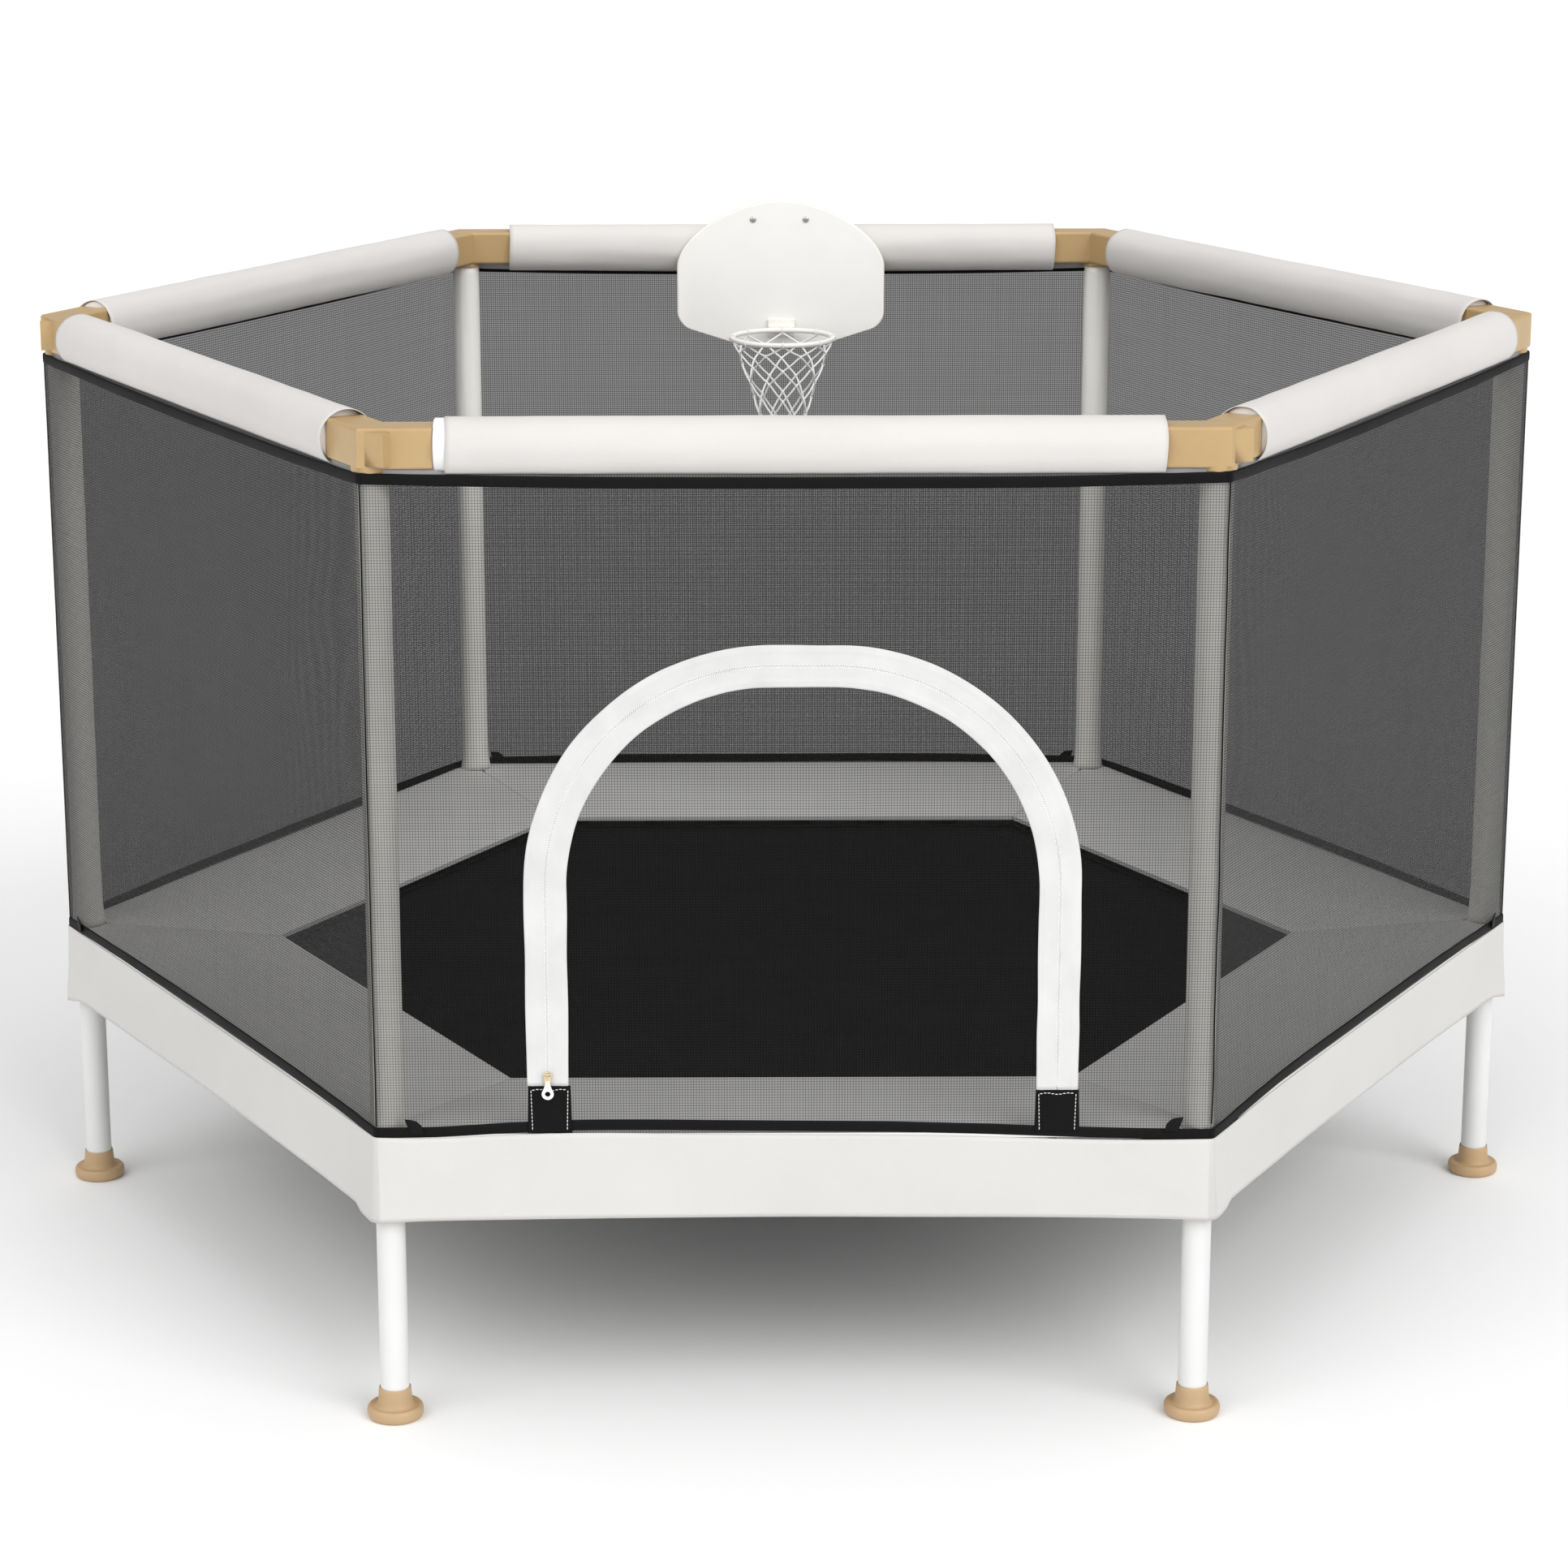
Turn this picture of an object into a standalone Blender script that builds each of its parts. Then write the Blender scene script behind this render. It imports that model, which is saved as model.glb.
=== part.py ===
"""Hexagonal play trampoline with a net enclosure, a zipped door and a small basketball hoop.

Metres, +Z up. The origin is on the floor at the middle of the hexagon. Corners lie on the X axis,
and the door side faces -Y. Run with: blender --background --python part.py
"""

from math import cos, pi, radians, sin

import bmesh
import bpy
from mathutils import Matrix, Vector

# Driving dimensions, in metres
POST_CIRCLE = 0.700  # from the centre to the axis of each leg and post
FRAME_HEIGHT = 0.2425  # axis of the frame tubes
RAIL_HEIGHT = 0.864  # axis of the top rails
TUBE_RADIUS = 0.0127  # one inch steel tube
TUBE_WALL = 0.0012
GAP = 0.0003  # between pieces that touch
SOCKET_RADIUS = TUBE_RADIUS + GAP
SOCKET_START = 0.0235  # how far from a corner's axis a side socket ends

POST_SLEEVE_RADIUS = 0.0145
POST_SLEEVE_SPAN = (0.2668, 0.8430)
POST_SPAN = (0.2465, 0.8715)
LEG_SPAN = (0.0143, 0.2390)
FOOT_CUP_DEPTH = 0.0140

TOP_CORNER_HALF = 0.0172  # half the side of the square section
TOP_CORNER_ARM = 0.052  # from the corner's axis to the end of an arm
TOP_CORNER_EDGE = 0.0035
TOP_COLLAR_RADIUS = 0.0168
TOP_COLLAR_FOOT = 0.8433
BASE_CORNER_RADIUS = 0.0155
BASE_CORNER_ARM = 0.050
BASE_CORNER_SPAN = (0.2090, 0.2664)

RAIL_PAD_RADIUS = 0.0247
MAT_APOTHEM = 0.472
MAT_THICKNESS = 0.002
BUNGEE_RADIUS = 0.0025
BUNGEE_TURNS = 6  # loops along each side
BUNGEE_REACH = (0.4755, 0.5865)  # from the mat's edge to the frame tube
BUNGEE_TURN_WIDTH = 0.012

PAD_THICKNESS = 0.007
PAD_TOP = 0.2655
PAD_INNER_TOP = 0.2525
PAD_INNER_CIRCLE = 0.508
PAD_KNEE = 0.016  # the pad is flat this far inside the frame tube's axis
PAD_OUTSIDE = 0.0169
SKIRT_OUTSIDE = 0.0177
SKIRT_THICKNESS = 0.0010
SKIRT_SPAN = (0.1880, 0.2655)

NET_OUTSIDE = 0.0166
NET_THICKNESS = 0.0008
NET_SPAN = (0.2668, 0.8430)
DOOR_CENTRE = 0.007
DOOR_SILL = 0.3105
DOOR_SPRING_LINE = 0.4886  # where the arch starts to bend
DOOR_FLAT = 0.026  # half the straight run at the top of the arch
DOOR_RADIUS = 0.192
DOOR_GAP = 0.0006
ARC_STEPS = 14

SLIDER_SIZE = (0.0085, 0.0035, 0.0125)
SLIDER_FACE = 0.0183  # its inner face, outside the post axes
SLIDER_CENTRE_HEIGHT = 0.3185
PULL_WIRE = 0.0008
PULL_WIDTH = 0.0070
PULL_LENGTH = 0.0200
PULL_HEIGHT = 0.3215
PULL_OUTSIDE = 0.0231

BOARD_THICKNESS = 0.006
BOARD_BACK_GAP = 0.0010  # from the rail pad
BOARD_HALF_WIDTH = 0.1136
BOARD_TOP = 0.9180
BOARD_SHOULDER = 0.8460
BOARD_SIDE_FOOT = 0.7900
BOARD_BOTTOM = 0.7620
BOLT_OFFSET = 0.029
BOLT_HEIGHT = 0.8975
CLIP_WIDTH = 0.018
CLIP_THICKNESS = 0.0025
CLIP_ANGLES = (12, 205)  # from +Y over the top

RIM_RADIUS = 0.0548
RIM_WIRE = 0.0027
RIM_HEIGHT = 0.777
RIM_STANDOFF = 0.0085  # from the board to the rim's wire
HOOP_NET_THICKNESS = 0.0015

SEGMENTS = 16
APOTHEM = POST_CIRCLE * cos(radians(30))
CORNERS = {
    "right": 0,
    "back_right": 60,
    "back_left": 120,
    "left": 180,
    "front_left": 240,
    "front_right": 300,
}
SIDES = {
    "front": 0,
    "right_front": 60,
    "right_back": 120,
    "back": 180,
    "left_back": 240,
    "left_front": 300,
}


def start_scene():
    for thing in list(bpy.data.objects):
        bpy.data.objects.remove(thing, do_unlink=True)
    bpy.context.scene.unit_settings.scale_length = 1.0
    for name in ("trampoline", "cutters"):
        collection = bpy.data.collections.new(name)
        bpy.context.scene.collection.children.link(collection)


def material(name, colour, roughness, metallic=0.0):
    made = bpy.data.materials.new(name)
    made.use_nodes = True
    shader = made.node_tree.nodes["Principled BSDF"]
    shader.inputs["Base Color"].default_value = (*colour, 1.0)
    shader.inputs["Roughness"].default_value = roughness
    shader.inputs["Metallic"].default_value = metallic
    return made


def finish_mesh(bm, name):
    """Merges, turns the faces outwards and returns the mesh."""
    bmesh.ops.remove_doubles(bm, verts=bm.verts, dist=1e-6)
    bmesh.ops.recalc_face_normals(bm, faces=bm.faces)
    mesh = bpy.data.meshes.new(name)
    bm.to_mesh(mesh)
    bm.free()
    mesh.shade_smooth()
    mesh.set_sharp_from_angle(angle=radians(35))
    return mesh


def place(name, mesh, finish, turn=0.0, location=(0, 0, 0)):
    """Adds a named object, turned about Z by this many degrees."""
    thing = bpy.data.objects.new(name, mesh)
    thing.rotation_euler = (0, 0, radians(turn))
    thing.location = location
    if finish.name not in mesh.materials:
        mesh.materials.append(finish)
    bpy.data.collections["trampoline"].objects.link(thing)
    return thing


def turned_mesh(name, outline, segments=SEGMENTS):
    """A closed outline of (radius, height) points, turned once round Z.
    An outline that starts on the axis also ends on it."""
    bm = bmesh.new()
    corners = [bm.verts.new((radius, 0, height)) for radius, height in outline]
    ends = corners[1:] + corners[:1] if outline[0][0] > 0 else corners[1:]
    edges = [bm.edges.new(pair) for pair in zip(corners, ends)]
    bmesh.ops.spin(
        bm,
        geom=corners + edges,
        cent=(0, 0, 0),
        axis=(0, 0, 1),
        dvec=(0, 0, 0),
        angle=2 * pi,
        steps=segments,
        use_merge=True,
        use_duplicate=False,
    )
    return finish_mesh(bm, name)


def tube_outline(outer, inner, low, high):
    return [(outer, low), (outer, high), (inner, high), (inner, low)]


def laid_along_x(mesh, y, z):
    """Turns a mesh made round Z to run along X, through (y, z)."""
    mesh.transform(Matrix.Translation((0, y, z)) @ Matrix.Rotation(radians(90), 4, "Y"))
    return mesh


def cylinder(name, radius, low, high, matrix=None):
    """A cutter or a part of a union: a closed cylinder along its own Z."""
    bm = bmesh.new()
    bmesh.ops.create_cone(
        bm,
        cap_ends=True,
        segments=SEGMENTS,
        radius1=radius,
        radius2=radius,
        depth=high - low,
        matrix=Matrix.Translation((0, 0, (low + high) / 2)),
    )
    return helper(name, finish_mesh(bm, name), matrix)


def block(name, size, centre, edge=0.0, matrix=None):
    """A box, with its edges rounded where edge is given."""
    bm = bmesh.new()
    spread = Matrix.Diagonal((*size, 1.0))
    bmesh.ops.create_cube(bm, size=1.0, matrix=Matrix.Translation(centre) @ spread)
    if edge:
        bmesh.ops.bevel(
            bm,
            geom=list(bm.edges),
            offset=edge,
            segments=2,
            profile=0.5,
            affect="EDGES",
            material=-1,
        )
    return helper(name, finish_mesh(bm, name), matrix)


def helper(name, mesh, matrix=None):
    """An object that only takes part in a Boolean."""
    thing = bpy.data.objects.new(name, mesh)
    thing.matrix_world = matrix or Matrix.Identity(4)
    thing.hide_render = True
    thing.display_type = "WIRE"
    bpy.data.collections["cutters"].objects.link(thing)
    return thing


def combined_mesh(name, first, added=(), cut=()):
    """The mesh of one helper joined with others and cut by others."""
    for operation, others in (("UNION", added), ("DIFFERENCE", cut)):
        for other in others:
            step = first.modifiers.new(other.name, "BOOLEAN")
            step.operation = operation
            step.solver = "EXACT"
            step.object = other
    bpy.context.view_layer.update()
    graph = bpy.context.evaluated_depsgraph_get()
    mesh = bpy.data.meshes.new_from_object(first.evaluated_get(graph))
    mesh.name = name
    mesh.transform(first.matrix_world)
    for thing in (first, *added, *cut):
        bpy.data.objects.remove(thing, do_unlink=True)
    mesh.shade_smooth()
    mesh.set_sharp_from_angle(angle=radians(35))
    return mesh


def circle_of(outside):
    """The corner circle of a hexagon whose sides run this far outside the post axes."""
    return (APOTHEM + outside) / cos(radians(30))


def arm_matrix(angle, height):
    """A helper made along its own Z is laid to run from the right-hand corner's axis along a side."""
    along = Matrix.Rotation(radians(angle), 4, "Z") @ Matrix.Rotation(radians(90), 4, "Y")
    return Matrix.Translation((POST_CIRCLE, 0, height)) @ along


# Frame and legs


def add_feet(rubber):
    outline = [
        (0, 0),
        (0.0208, 0),
        (0.0238, 0.0016),
        (0.0248, 0.0058),
        (0.0241, 0.0100),
        (0.0218, 0.0115),
        (0.0178, 0.0112),
        (0.0157, 0.0138),
        (0.0147, 0.0190),
        (0.0141, 0.0280),
        (SOCKET_RADIUS, 0.0280),
        (SOCKET_RADIUS, FOOT_CUP_DEPTH),
        (0, FOOT_CUP_DEPTH),
    ]
    mesh = turned_mesh("foot", outline)
    mesh.transform(Matrix.Translation((POST_CIRCLE, 0, 0)))
    for where, turn in CORNERS.items():
        place(f"foot_{where}", mesh, rubber, turn)


def add_legs(steel):
    outline = tube_outline(TUBE_RADIUS, TUBE_RADIUS - TUBE_WALL, *LEG_SPAN)
    mesh = turned_mesh("leg", outline)
    mesh.transform(Matrix.Translation((POST_CIRCLE, 0, 0)))
    for where, turn in CORNERS.items():
        place(f"leg_{where}", mesh, steel, turn)


def add_base_corners(plastic):
    low, high = BASE_CORNER_SPAN
    upright = Matrix.Translation((POST_CIRCLE, 0, 0))
    hub = cylinder("hub", BASE_CORNER_RADIUS, low, high, upright)
    arms, sockets = [], []
    for angle in (120, 240):
        lying = arm_matrix(angle, FRAME_HEIGHT)
        arms.append(cylinder(f"arm{angle}", BASE_CORNER_RADIUS, 0, BASE_CORNER_ARM, lying))
        end = BASE_CORNER_ARM + 0.01
        sockets.append(cylinder(f"socket{angle}", SOCKET_RADIUS, SOCKET_START, end, lying))
    sockets.append(cylinder("leg_socket", SOCKET_RADIUS, low - 0.01, LEG_SPAN[1] + GAP, upright))
    sockets.append(cylinder("post_socket", SOCKET_RADIUS, POST_SPAN[0] - GAP, high + 0.01, upright))
    mesh = combined_mesh("base_corner", hub, arms, sockets)
    for where, turn in CORNERS.items():
        place(f"base_corner_{where}", mesh, plastic, turn)


def add_frame_sides(steel):
    reach = POST_CIRCLE / 2 - SOCKET_START - GAP
    outline = tube_outline(TUBE_RADIUS, TUBE_RADIUS - TUBE_WALL, -reach, reach)
    mesh = laid_along_x(turned_mesh("frame_side", outline), -APOTHEM, FRAME_HEIGHT)
    for where, turn in SIDES.items():
        place(f"frame_side_{where}", mesh, steel, turn)


# Enclosure frame


def add_posts(sleeve):
    low, high = POST_SPAN
    sleeve_low, sleeve_high = POST_SLEEVE_SPAN
    bore = TUBE_RADIUS - TUBE_WALL
    outline = [
        (TUBE_RADIUS, low),
        (TUBE_RADIUS, sleeve_low),
        (POST_SLEEVE_RADIUS, sleeve_low),
        (POST_SLEEVE_RADIUS, sleeve_high),
        (TUBE_RADIUS, sleeve_high),
        (TUBE_RADIUS, high),
        (bore, high),
        (bore, low),
    ]
    mesh = turned_mesh("post", outline)
    mesh.transform(Matrix.Translation((POST_CIRCLE, 0, 0)))
    for where, turn in CORNERS.items():
        place(f"post_{where}", mesh, sleeve, turn)


def add_top_corners(plastic):
    upright = Matrix.Translation((POST_CIRCLE, 0, 0))
    collar_top = RAIL_HEIGHT - TOP_CORNER_HALF / 2
    collar = cylinder("collar", TOP_COLLAR_RADIUS, TOP_COLLAR_FOOT, collar_top, upright)
    past_axis = TOP_CORNER_HALF * sin(radians(30)) / cos(radians(30))
    length = TOP_CORNER_ARM + past_axis
    side = 2 * TOP_CORNER_HALF
    arms, sockets = [], []
    for angle in (120, 240):
        lying = arm_matrix(angle, RAIL_HEIGHT)
        centre = (0, 0, length / 2 - past_axis)
        size = (side, side, length)
        arms.append(block(f"arm{angle}", size, centre, TOP_CORNER_EDGE, lying))
        end = TOP_CORNER_ARM + 0.01
        sockets.append(cylinder(f"socket{angle}", SOCKET_RADIUS, SOCKET_START, end, lying))
    post_end = POST_SPAN[1] + GAP
    sockets.append(cylinder("post_socket", SOCKET_RADIUS, TOP_COLLAR_FOOT - 0.01, post_end, upright))
    mesh = combined_mesh("top_corner", collar, arms, sockets)
    for where, turn in CORNERS.items():
        place(f"top_corner_{where}", mesh, plastic, turn)


def add_top_rails(steel, foam):
    reach = POST_CIRCLE / 2 - SOCKET_START - GAP
    outline = tube_outline(TUBE_RADIUS, TUBE_RADIUS - TUBE_WALL, -reach, reach)
    rail = laid_along_x(turned_mesh("top_rail", outline), -APOTHEM, RAIL_HEIGHT)
    reach = POST_CIRCLE / 2 - TOP_CORNER_ARM - GAP
    outline = tube_outline(RAIL_PAD_RADIUS, SOCKET_RADIUS, -reach, reach)
    pad = laid_along_x(turned_mesh("rail_pad", outline, 20), -APOTHEM, RAIL_HEIGHT)
    for where, turn in SIDES.items():
        place(f"top_rail_{where}", rail, steel, turn)
        place(f"rail_pad_{where}", pad, foam, turn)


# Mat, bungee, pad and skirt


def add_jump_mat(fabric):
    low = FRAME_HEIGHT - MAT_THICKNESS / 2
    high = FRAME_HEIGHT + MAT_THICKNESS / 2
    circle = MAT_APOTHEM / cos(radians(30))
    mesh = turned_mesh("jump_mat", [(0, low), (circle, low), (circle, high), (0, high)], 6)
    place("jump_mat", mesh, fabric)


def bungee_points():
    """A lacing that runs to and fro between the mat's edge and the frame, once round."""
    inner, outer = BUNGEE_REACH
    points = []
    for turn in SIDES.values():
        spin = Matrix.Rotation(radians(turn), 3, "Z")
        for number in range(2 * BUNGEE_TURNS):
            apothem = inner if number % 2 else outer
            side = 2 * apothem * sin(radians(30)) / cos(radians(30))
            clear = side - 0.060
            middle = clear * ((number + 0.5) / (2 * BUNGEE_TURNS) - 0.5)
            for offset in (-BUNGEE_TURN_WIDTH / 2, BUNGEE_TURN_WIDTH / 2):
                points.append(spin @ Vector((middle + offset, -apothem, FRAME_HEIGHT)))
    return points


def add_bungee(elastic):
    curve = bpy.data.curves.new("bungee_cord", "CURVE")
    curve.dimensions = "3D"
    curve.bevel_depth = BUNGEE_RADIUS
    curve.bevel_resolution = 2
    points = bungee_points()
    spline = curve.splines.new("POLY")
    spline.points.add(len(points) - 1)
    for target, point in zip(spline.points, points):
        target.co = (*point, 1.0)
    spline.use_cyclic_u = True
    curve.materials.append(elastic)
    thing = bpy.data.objects.new("bungee_cord", curve)
    bpy.data.collections["trampoline"].objects.link(thing)


def add_spring_pad(fabric):
    outer = circle_of(PAD_OUTSIDE)
    knee = circle_of(-PAD_KNEE)
    section = [
        (outer, PAD_TOP),
        (knee, PAD_TOP),
        (PAD_INNER_CIRCLE, PAD_INNER_TOP),
        (PAD_INNER_CIRCLE, PAD_INNER_TOP - PAD_THICKNESS),
        (knee, PAD_TOP - PAD_THICKNESS),
        (outer, PAD_TOP - PAD_THICKNESS),
    ]
    ring = helper("pad_ring", turned_mesh("pad_ring", section, 6))
    notches = []
    radius = BASE_CORNER_RADIUS + 2 * GAP
    for where, turn in CORNERS.items():
        slot_length = 0.05
        spin = Matrix.Rotation(radians(turn), 4, "Z") @ Matrix.Translation((POST_CIRCLE, 0, 0))
        size = (slot_length, 2 * radius * 0.98, 0.05)
        centre = (slot_length / 2, 0, PAD_TOP)
        notches.append(cylinder(f"hole_{where}", radius, PAD_TOP - 0.03, PAD_TOP + 0.03, spin))
        notches.append(block(f"slot_{where}", size, centre, matrix=spin))
    place("spring_pad", combined_mesh("spring_pad", ring, cut=notches), fabric)


def add_skirt(fabric):
    inner = circle_of(SKIRT_OUTSIDE - SKIRT_THICKNESS / 2)
    outer = circle_of(SKIRT_OUTSIDE + SKIRT_THICKNESS / 2)
    low, high = SKIRT_SPAN
    section = [(outer, high), (inner, high), (inner, low), (outer, low)]
    place("skirt", turned_mesh("skirt", section, 6), fabric)


# Net, door and zip


def arch_points(radius, low):
    """The door's outline in (x, z), from the lower left round the top to the lower right."""
    points = [(-DOOR_FLAT - radius, low)]
    for side, first, last in ((-1, 180, 90), (1, 90, 0)):
        for step in range(ARC_STEPS + 1):
            angle = radians(first + (last - first) * step / ARC_STEPS)
            x = side * DOOR_FLAT + radius * cos(angle)
            points.append((x, DOOR_SPRING_LINE + radius * sin(angle)))
    points.append((DOOR_FLAT + radius, low))
    return [(DOOR_CENTRE + x, z) for x, z in points]


def upright_sheet(name, outlines, y, hinge, fabric):
    """A flat sheet that stands across Y, cut to outlines of (x, z), with its origin on the hinge."""
    curve = bpy.data.curves.new(name, "CURVE")
    curve.dimensions = "2D"
    curve.fill_mode = "BOTH"
    curve.extrude = NET_THICKNESS / 2
    for outline in outlines:
        spline = curve.splines.new("POLY")
        spline.points.add(len(outline) - 1)
        for target, (x, z) in zip(spline.points, outline):
            target.co = (x - hinge[0], z - hinge[1], 0, 1)
        spline.use_cyclic_u = True
    curve.materials.append(fabric)
    thing = bpy.data.objects.new(name, curve)
    thing.rotation_euler = (radians(90), 0, 0)
    thing.location = (hinge[0], y, hinge[1])
    bpy.data.collections["trampoline"].objects.link(thing)


def add_front_net(fabric):
    y = -APOTHEM - NET_OUTSIDE
    low, high = NET_SPAN
    end = circle_of(NET_OUTSIDE) / 2 - NET_THICKNESS
    frame = [(-end, low), (end, low), (end, high), (-end, high)]
    doorway = arch_points(DOOR_RADIUS + DOOR_GAP, DOOR_SILL - DOOR_GAP)
    upright_sheet("net_front", [frame, doorway], y, (0, low), fabric)
    flap = arch_points(DOOR_RADIUS - DOOR_GAP, DOOR_SILL + DOOR_GAP)
    upright_sheet("door_flap", [flap], y, (DOOR_CENTRE, DOOR_SILL), fabric)


def add_wall_net(fabric):
    """Five panels sewn edge to edge, from one front corner round the back to the other."""
    bm = bmesh.new()
    corner = Matrix.Rotation(radians(CORNERS["front_right"]), 3, "Z")
    edge = [corner @ Vector((circle_of(NET_OUTSIDE), 0, height)) for height in NET_SPAN]
    ends = [bm.verts.new(point) for point in edge]
    bmesh.ops.spin(
        bm,
        geom=[*ends, bm.edges.new(ends)],
        cent=(0, 0, 0),
        axis=(0, 0, 1),
        dvec=(0, 0, 0),
        angle=radians(300),
        steps=5,
        use_merge=False,
        use_duplicate=False,
    )
    thing = place("net_wall", finish_mesh(bm, "net_wall"), fabric)
    wall = thing.modifiers.new("thickness", "SOLIDIFY")
    wall.thickness = NET_THICKNESS
    wall.offset = 0.0
    wall.use_even_offset = True


def add_zip(brass, white):
    x = DOOR_CENTRE - DOOR_FLAT - DOOR_RADIUS
    width, depth, height = SLIDER_SIZE
    y = -APOTHEM - SLIDER_FACE - depth / 2
    body = block("slider_body", SLIDER_SIZE, (x, y, SLIDER_CENTRE_HEIGHT), 0.0008)
    pull_y = -APOTHEM - PULL_OUTSIDE
    bail_half = PULL_WIRE + 0.0022
    bail_front = pull_y - PULL_WIRE - 0.0009
    bail_back = y
    size = (0.0022, bail_back - bail_front, 2 * bail_half)
    centre = (x, (bail_back + bail_front) / 2, PULL_HEIGHT)
    bail = block("bail", size, centre)
    opening = (0.01, 2 * PULL_WIRE + 0.0007, 2 * PULL_WIRE + 0.0024)
    hole = block("bail_hole", opening, (x, pull_y, PULL_HEIGHT))
    mesh = combined_mesh("zip_slider", body, [bail], [hole])
    middle = Vector((x, y, SLIDER_CENTRE_HEIGHT))
    mesh.transform(Matrix.Translation(-middle))
    place("zip_slider", mesh, brass, location=middle)
    add_pull(x, pull_y, white)


def add_pull(x, y, white):
    """A long wire ring whose top bar goes through the slider's bail."""
    curve = bpy.data.curves.new("zip_pull", "CURVE")
    curve.dimensions = "3D"
    curve.bevel_depth = PULL_WIRE
    curve.bevel_resolution = 1
    half = PULL_WIDTH / 2
    straight = PULL_LENGTH - half
    round_end = [(half * cos(a), -straight - half * sin(a)) for a in (k * pi / 6 for k in range(7))]
    outline = [(-half + 0.0008, 0), (half - 0.0008, 0), (half, -0.0012), *round_end, (-half, -0.0012)]
    spline = curve.splines.new("POLY")
    spline.points.add(len(outline) - 1)
    for target, (across, up) in zip(spline.points, outline):
        target.co = (across, 0, up, 1)
    spline.use_cyclic_u = True
    curve.materials.append(white)
    thing = bpy.data.objects.new("zip_pull", curve)
    thing.location = (x, y, PULL_HEIGHT)
    bpy.data.collections["trampoline"].objects.link(thing)


# Basketball hoop


def board_outline():
    points = []
    steps = 18
    for step in range(steps + 1):
        angle = pi * step / steps
        rise = BOARD_TOP - BOARD_SHOULDER
        points.append((BOARD_HALF_WIDTH * cos(angle), BOARD_SHOULDER + rise * sin(angle)))
    lower = [
        (BOARD_HALF_WIDTH, BOARD_SIDE_FOOT),
        (0.1105, 0.7812),
        (0.1028, 0.7752),
        (0.0616, 0.7652),
        (0.0350, BOARD_BOTTOM),
    ]
    left = [(-x, z) for x, z in lower]
    return points + left + lower[::-1]


def flat_plate(name, outline, y_front, thickness):
    """A helper plate that stands across Y."""
    bm = bmesh.new()
    corners = [bm.verts.new((x, y_front, z)) for x, z in outline]
    bm.faces.new(corners)
    made = bmesh.ops.extrude_face_region(bm, geom=list(bm.faces))
    moved = [part for part in made["geom"] if isinstance(part, bmesh.types.BMVert)]
    bmesh.ops.translate(bm, verts=moved, vec=(0, thickness, 0))
    return helper(name, finish_mesh(bm, name))


def rail_clip(name, x):
    """A C-shaped clip round the padded back rail, turned about the rail's axis."""
    bm = bmesh.new()
    inner = RAIL_PAD_RADIUS + GAP
    outer = inner + CLIP_THICKNESS
    first, last = (radians(angle) for angle in CLIP_ANGLES)
    corners = []
    for across, radius in ((-1, inner), (1, inner), (1, outer), (-1, outer)):
        corners.append(bm.verts.new((across * CLIP_WIDTH / 2, radius * cos(first), radius * sin(first))))
    bm.faces.new(corners)
    bmesh.ops.spin(
        bm,
        geom=list(bm.verts) + list(bm.edges) + list(bm.faces),
        cent=(0, 0, 0),
        axis=(1, 0, 0),
        dvec=(0, 0, 0),
        angle=last - first,
        steps=14,
        use_merge=False,
        use_duplicate=False,
    )
    mesh = finish_mesh(bm, name)
    return helper(name, mesh, Matrix.Translation((x, APOTHEM, RAIL_HEIGHT)))


def board_back():
    return APOTHEM - RAIL_PAD_RADIUS - BOARD_BACK_GAP


def add_backboard(plastic):
    front = board_back() - BOARD_THICKNESS
    board = flat_plate("board", board_outline(), front, BOARD_THICKNESS)
    added = []
    for side in (-1, 1):
        x = side * BOLT_OFFSET
        added.append(rail_clip(f"clip{side}", x))
        size = (CLIP_WIDTH, 0.0140, 0.0180)
        centre = (x, board_back() + 0.0060, BOLT_HEIGHT - 0.0010)
        added.append(block(f"boss{side}", size, centre))
    inner = laid_along_x(turned_mesh("pad_room", [
        (RAIL_PAD_RADIUS + GAP, -0.05),
        (RAIL_PAD_RADIUS + GAP, 0.05),
        (0.005, 0.05),
        (0.005, -0.05),
    ], 20), APOTHEM, RAIL_HEIGHT)
    room = helper("pad_room", inner)
    place("backboard", combined_mesh("backboard", board, added, [room]), plastic)


def rim_centre():
    front = board_back() - BOARD_THICKNESS
    return Vector((0, front - RIM_STANDOFF - RIM_WIRE - RIM_RADIUS, RIM_HEIGHT))


def add_hoop(metal, cord):
    front = board_back() - BOARD_THICKNESS
    centre = rim_centre()
    outline = [
        (RIM_RADIUS + RIM_WIRE * cos(a), RIM_WIRE * sin(a)) for a in (k * pi / 4 for k in range(8))
    ]
    rim = helper("rim", turned_mesh("rim", outline, 32), Matrix.Translation(centre))
    plate_depth = 0.003
    plate_y = front - GAP - plate_depth / 2
    parts = [block("plate", (0.030, plate_depth, 0.020), (0, plate_y, RIM_HEIGHT + 0.004), 0.0008)]
    for side in (-1, 1):
        reach = 0.0095
        spot = (side * 0.008, front - GAP - 0.001 - reach / 2, RIM_HEIGHT)
        parts.append(block(f"strut{side}", (0.004, reach, 0.004), spot))
    place("hoop_rim", combined_mesh("hoop_rim", rim, parts), metal)
    top = RIM_HEIGHT - RIM_WIRE - GAP
    silhouette = [(0.0535, top), (0.0440, 0.748), (0.0330, 0.720), (0.0255, 0.692), (0.0215, 0.655)]
    inside = [(radius - HOOP_NET_THICKNESS, height) for radius, height in silhouette[::-1]]
    net = turned_mesh("hoop_net", silhouette + inside, 20)
    net.transform(Matrix.Translation((0, centre.y, 0)))
    place("hoop_net", net, cord)


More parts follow.
